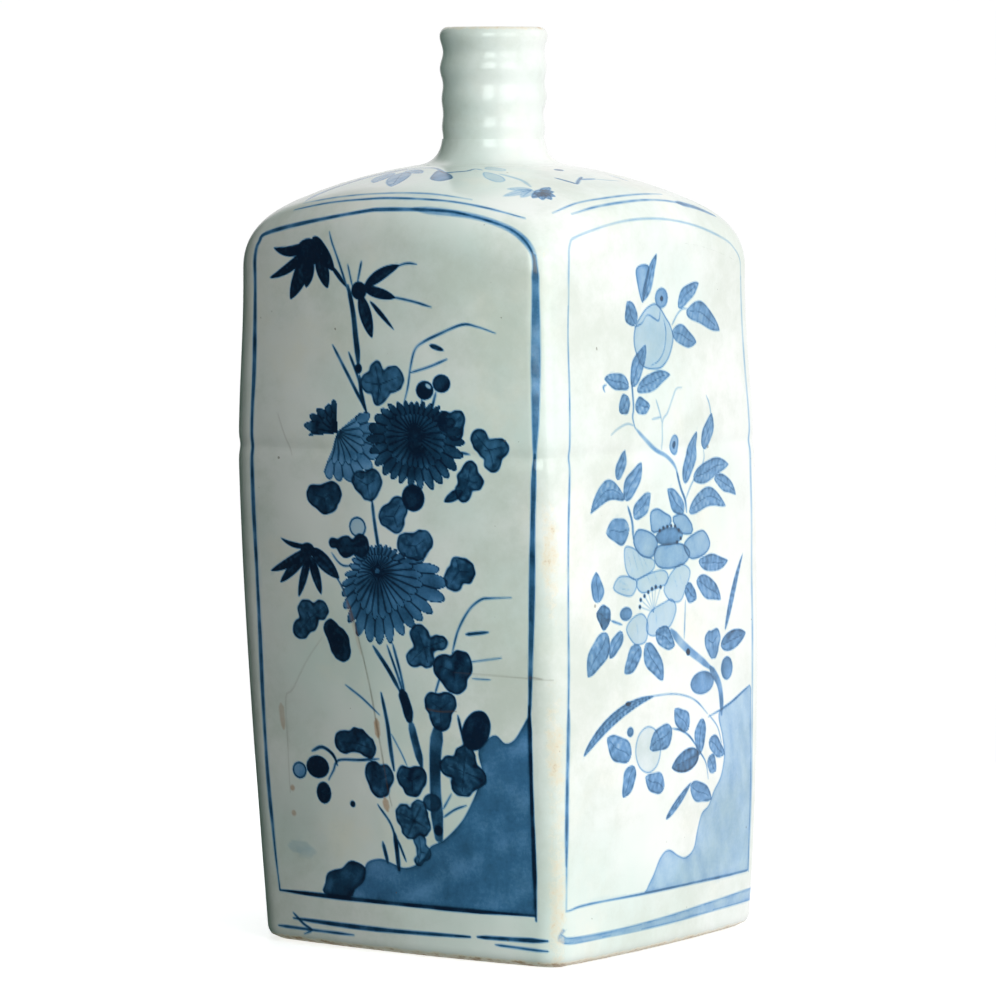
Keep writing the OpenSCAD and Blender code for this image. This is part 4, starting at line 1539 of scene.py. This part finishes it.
@dataclass(frozen=True)
class ClayFinish:
    """Unglazed fired clay. Colours are from 0 to 255."""

    name: str
    pale: tuple = (214, 188, 154)
    deep: tuple = (168, 118, 76)
    grit: tuple = (104, 72, 46)
    rough: float = 0.72
    relief: float = 0.0003

    def make(self) -> Material:
        """Makes the material."""
        f = Finish(bpy.data.materials.new(self.name))
        colour = f.mix(f.noise(70, 5, 0.65).between(0.3, 0.75), linear(*self.pale), linear(*self.deep))
        specks = f.noise(700, 3, 0.5, 1.3).between(0.66, 0.76)
        colour = f.mix(specks * 0.6, colour, linear(*self.grit))
        relief = f.noise(900, 4, 0.7, 2.4) + f.noise(120, 3, 0.5, 3.9) * 0.8
        rough = self.rough + 0.2 * f.noise(300, 3, 0.5, 5.1)
        normal = f.bumps(relief, self.relief, 0.7)
        return f.close({"Base Color": colour, "Roughness": rough, "Normal": normal},
                       {"IOR": 1.45, "Specular IOR Level": 0.3})


def settle(obj: Object, nodes: Sequence[str], material: Material) -> None:
    """Gives a finished piece its material and place in the frame.

    Args:
        obj: The piece.
        nodes: The nodes that it stands for.
        material: Its material.
    """
    obj.data.materials.clear()
    obj.data.materials.append(material)
    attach(obj, BODY)
    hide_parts(*nodes)
    obj.data.calc_loop_triangles()
    LOG.info("%s: %d triangles, stands for %s", obj.name, len(obj.data.loop_triangles), ", ".join(nodes))


@dataclass
class Body:
    """The eight painted walls and the shoulder slab.

    Args:
        form: The bottle's skin.
        decoration: What is painted on it.
        glaze: Material of the painted glaze.
    """

    form: BottleForm
    decoration: Decoration
    glaze: Material
    columns: int = 20
    lower_rows: int = 26
    upper_rows: int = 10
    shoulder_rows: int = 10
    spray_ends: float = 0.93

    def build(self) -> None:
        """Makes all nine slabs."""
        for side in Side:
            for upper in (False, True):
                self._wall(side, upper)
        self._shoulder()

    def _wall(self, side: Side, upper: bool) -> None:
        """Makes one wall slab, below or above the belly seam."""
        form = self.form

        def level(along: Array, across: Array) -> Array:
            """Height of a point of the flat slab once it is bent."""
            if upper:
                return form.seam + across * (form.joint(side, along) - form.seam)
            return across * form.seam

        def bend(along: Array, across: Array, depth: Array) -> Array:
            """Points of the slab on the form."""
            return form.wall(side, along, level(along, across), depth)

        def paint(along: Array, across: Array) -> dict[str, Array]:
            """Attributes of the slab's skin."""
            z = level(along, across)
            run = along * form.side_run(np.minimum(z, form.straight_level))[2]
            return self._coat(side, along, run, z)

        name = f"{side.name.lower()}_{'upper' if upper else 'lower'}_wall"
        rows = self.upper_rows if upper else self.lower_rows
        slab = Slab(f"painted_{name}", Span.ONE_SIDE, self.columns, rows, bend, paint,
                    first_rows=0 if upper else 1)
        settle(slab.build(), [name], self.glaze)

    def _coat(self, side: Side, t: Array, run: Array, rise: Array) -> dict[str, Array]:
        """Pigment, hairlines, stains and wear at points of one side."""
        paint = self.decoration.sides[side]
        laid = [part.pigment(run, rise) for part in (paint.pigment, paint.cracks, paint.stains)]
        return dict(zip(COAT, [*laid, self.decoration.wear(side, t, rise, run)]))

    def _shoulder(self) -> None:
        """Makes the shoulder slab, all the way round, with its seam at the back left corner."""
        form = self.form
        order = [Side.LEFT, Side.FRONT, Side.RIGHT, Side.BACK]
        half = float(form.side_run(np.array(form.straight_level))[2])

        def split(along: Array) -> tuple[Array, Array]:
            """Which of the four sides a point lies on, and where along it."""
            run = along + Span.ALL_ROUND / 2
            block = np.clip((run / Span.ONE_SIDE).astype(int), 0, len(order) - 1)
            return block, run - Span.ONE_SIDE * block - 1

        def bend(along: Array, across: Array, depth: Array) -> Array:
            """Points of the slab on the form."""
            block, t = split(along)
            points = np.empty((len(along), 3))
            for k, side in enumerate(order):
                on = block == k
                points[on] = form.shoulder(side, t[on], across[on], depth[on])
            return points

        def paint(along: Array, across: Array) -> dict[str, Array]:
            """Attributes of the slab's skin."""
            block, t = split(along)
            points = bend(along, across, np.zeros(len(along)))
            coat = {key: np.zeros(len(along)) for key in COAT}
            for k, side in enumerate(order):
                on = block == k
                rise = form.joint(side, t[on]) + across[on] * form.shoulder_run(side, t[on])
                part = self._coat(side, t[on], t[on] * half, rise)
                for key, values in part.items():
                    coat[key][on] = values
            inner = soft_step(self.spray_ends - across, 0.02)
            spray = self.decoration.plan_pigment(points[:, 0], points[:, 1]) * inner
            coat["cobalt"] = 1 - (1 - coat["cobalt"]) * (1 - spray)
            return coat

        slab = Slab("painted_shoulder_slab", Span.ALL_ROUND, len(order) * self.columns,
                    self.shoulder_rows, bend, paint, coarse_ends=True, last_rows=3)
        settle(slab.build(), ["shoulder_slab"], self.glaze)


@dataclass
class Neck:
    """The thrown neck with its ribs and its rolled mouth, and the fillet round its foot. Sizes in mm.

    Args:
        axis: Plan position of the neck.
        seat: Level of the flat seat.
        top: Level of the mouth.
        bore_r: Radius of the bore.
        glaze: Material of the plain glaze.
        wander: How far the ribs wander; over wander_fade that starts and ends.
        skirt: How far the collar's hidden rim goes on outwards and downwards.
        collar_waist: Radius that the collar's curve is pulled to, at the height collar_rise.
        crease: Angle in degrees from which an edge stays sharp.
    """

    axis: Two
    seat: float
    top: float
    bore_r: float
    glaze: Material
    foot_r: float = 15.0
    top_r: float = 15.5
    ring_depth: float = 0.5
    wander: float = 0.16
    skirt: float = 0.5
    ring_pitch: float = 9.4
    spigot_r: float = 13.9
    spigot_l: float = 6.8
    collar_h: float = 7.7
    collar_r: float = 22.0
    collar_waist: float = 15.9
    collar_lip: float = 15.3
    collar_rise: float = 1.2
    wander_fade: float = 6.0
    steps: int = 96
    rib_points: int = 72
    lip_points: int = 17
    bore_points: int = 24
    collar_points: int = 15
    crease: float = 42
    weld: float = 0.00001

    def build(self) -> None:
        """Makes the neck and its collar."""
        lip_r = (self.top_r + self.ring_depth - self.bore_r) / 2
        lip_z = self.top - lip_r
        foot = self.seat + self.collar_h
        rib_z = np.linspace(foot, lip_z, self.rib_points)
        u = (rib_z - foot) / (lip_z - foot)
        rib_r = (self.foot_r + (self.top_r - self.foot_r) * np.minimum(1, 1.6 * u)
                 + self.ring_depth * (0.55 + 0.45 * u) * np.cos(math.tau * (lip_z - rib_z) / self.ring_pitch)
                 * np.minimum(1, 8 * u))
        turn = np.linspace(0, math.pi, self.lip_points)
        lip = [(self.bore_r + lip_r + lip_r * math.cos(a), lip_z + lip_r * math.sin(a)) for a in turn]
        spigot = self.seat - self.spigot_l
        bore = [(self.bore_r, z) for z in np.linspace(lip_z, spigot, self.bore_points)[1:]]
        outline = [(self.spigot_r, spigot), (self.spigot_r, self.seat), (self.foot_r, self.seat),
                   *zip(rib_r, rib_z), *lip[1:], *bore]
        self._finish(self._spin("thrown_neck", outline), "neck")
        t = np.linspace(0, 1, self.collar_points)
        fillet_r = bow(self.collar_r, self.collar_waist, self.collar_lip, t)
        fillet_z = bow(self.seat, self.seat + self.collar_rise, foot, t)
        skirt = (self.collar_r + self.skirt, self.seat - self.skirt)
        outline = [skirt, *zip(fillet_r, fillet_z), (self.foot_r, foot), (self.foot_r, self.seat)]
        self._finish(self._spin("luted_neck_collar", outline), "neck_collar")

    def _finish(self, obj: Object, node: str) -> None:
        """Gives a spun piece its unevenness, wear and glaze."""
        self._unevenness(obj)
        self._mark_wear(obj)
        settle(obj, [node], self.glaze)

    def _spin(self, name: str, outline: Sequence[Two]) -> Object:
        """Spins a closed outline of radius and level round the neck's axis."""
        mesh = bpy.data.meshes.new(name)
        rows = [((self.axis[0] + r) * MM, self.axis[1] * MM, z * MM) for r, z in outline]
        mesh.from_pydata(rows, [(i, (i + 1) % len(rows)) for i in range(len(rows))], [])
        obj = bpy.data.objects.new(name, mesh)
        bpy.context.scene.collection.objects.link(obj)
        middle = (self.axis[0] * MM, self.axis[1] * MM, 0)

        def spin() -> None:
            """Turns the outline once round and closes it."""
            bpy.ops.mesh.spin(steps=self.steps, angle=math.tau, center=middle, axis=(0, 0, 1))
            bpy.ops.mesh.select_all(action="SELECT")
            bpy.ops.mesh.remove_doubles(threshold=self.weld)
            bpy.ops.mesh.normals_make_consistent(inside=False)

        edit_picked(obj, "VERT", np.ones(len(rows)), spin)
        only(obj)
        bpy.ops.object.shade_smooth_by_angle(angle=math.radians(self.crease))
        return obj

    def _unevenness(self, obj: Object) -> None:
        """Lets the ribs wander a little, as a thrower's fingers leave them."""
        points = corners_of(obj.data) / MM
        spoke = points[:, :2] - self.axis
        r = np.linalg.norm(spoke, axis=1)
        angle = np.arctan2(spoke[:, 1], spoke[:, 0])
        sway = 0.8 * np.sin(angle + 0.7) + 0.5 * np.sin(2 * angle)
        free = np.clip((points[:, 2] - self.seat - self.collar_h) / self.wander_fade, 0, 1)
        free = free * np.clip((self.top - 1 - points[:, 2]) / self.wander_fade, 0, 1)
        free = free * (r > self.bore_r + 1)
        change = free * self.wander * (np.sin(points[:, 2] * 0.55 + sway)
                                       + 0.5 * np.sin(angle * 3 + points[:, 2] * 0.3))
        points[:, :2] += spoke / r[:, None] * change[:, None]
        obj.data.vertices.foreach_set("co", (points * MM).ravel())
        obj.data.update()

    def _mark_wear(self, obj: Object) -> None:
        """Marks the worn rim of the mouth and the hidden clay of the spigot."""
        z = corners_of(obj.data)[:, 2] / MM
        rim = 0.62 * soft_step(z - self.top + 1.1, 0.8)
        hidden = 1.0 * (z < self.seat - 0.5)
        obj.data.attributes.new("wear", "FLOAT", "POINT").data.foreach_set(
            "value", np.maximum(rim, hidden).astype(np.float32))


@dataclass
class Underside:
    """The base slab and the coils that join the slabs, all as the model gives them.

    Args:
        clay: Material of the bare clay.
    """

    clay: Material

    def dress(self) -> None:
        """Gives the carried-over pieces their material."""
        for name, node in frame["nodes"].items():
            if name == "base_slab" or name.endswith("_coil"):
                node.data.materials.clear()
                node.data.materials.append(self.clay)
                LOG.info("%s: carried over", name)


@dataclass(frozen=True)
class Lamp:
    """A square soft light. Sizes in metres, power in watts."""

    name: str
    place: Three
    size: float
    power: float
    colour: Three = (1.0, 1.0, 1.0)


@dataclass(frozen=True)
class Studio:
    """White table, soft light and camera. Sizes in metres, angles in degrees.

    Args:
        reach: Radius of the table top; glow is how much light it gives itself.
        dark_way: Way to the middle of the black cloth; shade_edge is where it starts and is full.
        card_edge: Plan position of the dark card's near edge.
        azimuth: The camera's turn; dip is how far it looks down.
    """

    reach: float = 0.45
    glow: float = 0.64
    room_light: float = 1.01
    dark_way: Three = (-0.63, -0.76, -0.1)
    shade_edge: Two = (-0.2, 0.22)
    shade_colour: Three = (0.008, 0.06, 0.04)
    flag_reach: float = 2.2
    card_edge: Two = (0.048, -0.23)
    card_size: Two = (0.5, 0.9)
    card_turn: float = 15
    card_sink: float = 0.2
    aim: Three = (0, 0, 0.13)
    lamps: tuple[Lamp, ...] = (Lamp("window_light", (1.4, -0.6, 0.6), 1.0, 6.6),
                               Lamp("front_light", (0.4, -1.1, 0.6), 0.7, 8, (0.92, 1.0, 0.965)))
    camera_place: Three = (0.91458, -1.32492, 0.24948)
    azimuth: float = 34.68
    dip: float = 4.238
    lens: float = 195.83
    sensor: float = 36
    shift: float = 0.0033

    def build(self) -> None:
        """Sets everything up."""
        self._floor()
        self._world()
        self._card()
        self._flag()
        for lamp in self.lamps:
            self._hang(lamp)
        self._camera()

    def _floor(self) -> None:
        """Lays the table top."""
        bpy.ops.object.select_all(action="DESELECT")
        bpy.ops.mesh.primitive_circle_add(vertices=96, radius=self.reach, fill_type="NGON",
                                          location=(0, 0, -0.0002))
        floor = bpy.context.object
        floor.name = "table_top"
        f = Finish(bpy.data.materials.new("white_table"))
        colour = f.mix(f.noise(3), linear(250, 250, 250), linear(244, 245, 244))
        floor.data.materials.append(f.close({"Base Color": colour}, {
            "Roughness": 0.7, "Emission Color": (1, 1, 1, 1), "Emission Strength": self.glow}))
        floor.visible_diffuse = floor.visible_glossy = False

    def _card(self) -> None:
        """Stands a dark card at the left that keeps light off the front; it isn't seen itself."""
        width, height = self.card_size
        turn = math.radians(self.card_turn)
        bpy.ops.object.select_all(action="DESELECT")
        bpy.ops.mesh.primitive_plane_add(size=1, rotation=(math.pi / 2, 0, -turn))
        card = bpy.context.object
        card.name = "dark_card"
        card.scale = (width, height, 1)
        card.location = (self.card_edge[0] - width / 2 * math.cos(turn),
                         self.card_edge[1] + width / 2 * math.sin(turn), height / 2 - self.card_sink)
        card.visible_camera = False
        f = Finish(bpy.data.materials.new("dark_felt"))
        colour = f.mix(f.noise(30), linear(60, 68, 64), linear(52, 60, 56))
        card.data.materials.append(f.close({"Base Color": colour}, {"Roughness": 0.9}))

    def _flag(self) -> None:
        """Hangs black cloth round the front left, thinning out to nothing; it isn't seen itself."""
        bpy.ops.object.select_all(action="DESELECT")
        bpy.ops.mesh.primitive_uv_sphere_add(segments=48, ring_count=24, radius=self.flag_reach)
        flag = bpy.context.object
        flag.name = "black_flag"
        flag.visible_camera = False
        f = Finish(bpy.data.materials.new("black_cloth"))
        facing = f.node("ShaderNodeVectorMath", {"operation": "DOT_PRODUCT"},
                        {0: f.place, 1: self.dark_way}, "Value")
        shade = (facing * (1 / self.flag_reach)).between(*self.shade_edge)
        flag.data.materials.append(f.close({"Alpha": shade}, {
            "Base Color": (0, 0, 0, 1), "Roughness": 1, "Specular IOR Level": 0,
            "Emission Color": (*self.shade_colour, 1), "Emission Strength": 1}))

    def _world(self) -> None:
        """Fills the room with even white light."""
        world = bpy.data.worlds.new("pale_room")
        bpy.context.scene.world = world
        f = Finish(world, "Generated")
        light = f.node("ShaderNodeBackground", {}, {"Color": (1, 1, 1, 1), "Strength": self.room_light})
        f.node("ShaderNodeOutputWorld", {}, {"Surface": light}, None)
        bpy.context.scene.view_settings.view_transform = "Standard"

    def _hang(self, lamp: Lamp) -> None:
        """Hangs a lamp that faces the bottle."""
        data = bpy.data.lights.new(lamp.name, "AREA")
        data.size, data.energy, data.color = lamp.size, lamp.power, lamp.colour
        light = bpy.data.objects.new(lamp.name, data)
        light.location = lamp.place
        way = Vector(self.aim) - Vector(lamp.place)
        light.rotation_euler = way.to_track_quat("-Z", "Y").to_euler()
        bpy.context.scene.collection.objects.link(light)

    def _camera(self) -> None:
        """Sets the camera at the buyer's eye."""
        data = bpy.data.cameras.new("camera")
        data.lens, data.sensor_width, data.shift_x = self.lens, self.sensor, self.shift
        camera = bpy.data.objects.new("camera", data)
        camera.location = self.camera_place
        camera.rotation_euler = (math.radians(90 - self.dip), 0, math.radians(self.azimuth))
        bpy.context.scene.collection.objects.link(camera)
        bpy.context.scene.camera = camera


def measure() -> tuple[BottleForm, Two, float, float]:
    """Takes the levels and the neck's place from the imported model.

    Returns:
        The form, the neck's plan position, the mouth's level and the bore's radius, in mm.
    """
    mouth = next(m for m in frame["record"]["mounts"] if m["name"] == "mouth")
    low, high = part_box("neck")
    axis = (round((low.x + high.x) / 2 / MM, 3), round((low.y + high.y) / 2 / MM, 3))
    seam = round(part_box("front_lower_wall")[1].z / MM, 2)
    seat = round(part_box("neck_collar")[0].z / MM, 2)
    LOG.info("neck at %s, seam at %s, seat at %s", axis, seam, seat)
    return BottleForm(axis, seam, seat), axis, high.z / MM, mouth["dims"]["r_mm"]


def main() -> None:
    """Builds the bottle and its studio."""
    logging.basicConfig(level=logging.INFO, format="%(name)s: %(message)s")
    form, axis, top, bore = measure()
    painted = GlazeFinish("blue_painted_glaze").make()
    plain = GlazeFinish("clear_glaze", painted=False).make()
    clay = ClayFinish("fired_clay").make()
    Body(form, Decoration(form), painted).build()
    Neck(axis, form.seat, top, bore, plain).build()
    Underside(clay).dress()
    Studio().build()


if __name__ == "__main__":
    main()
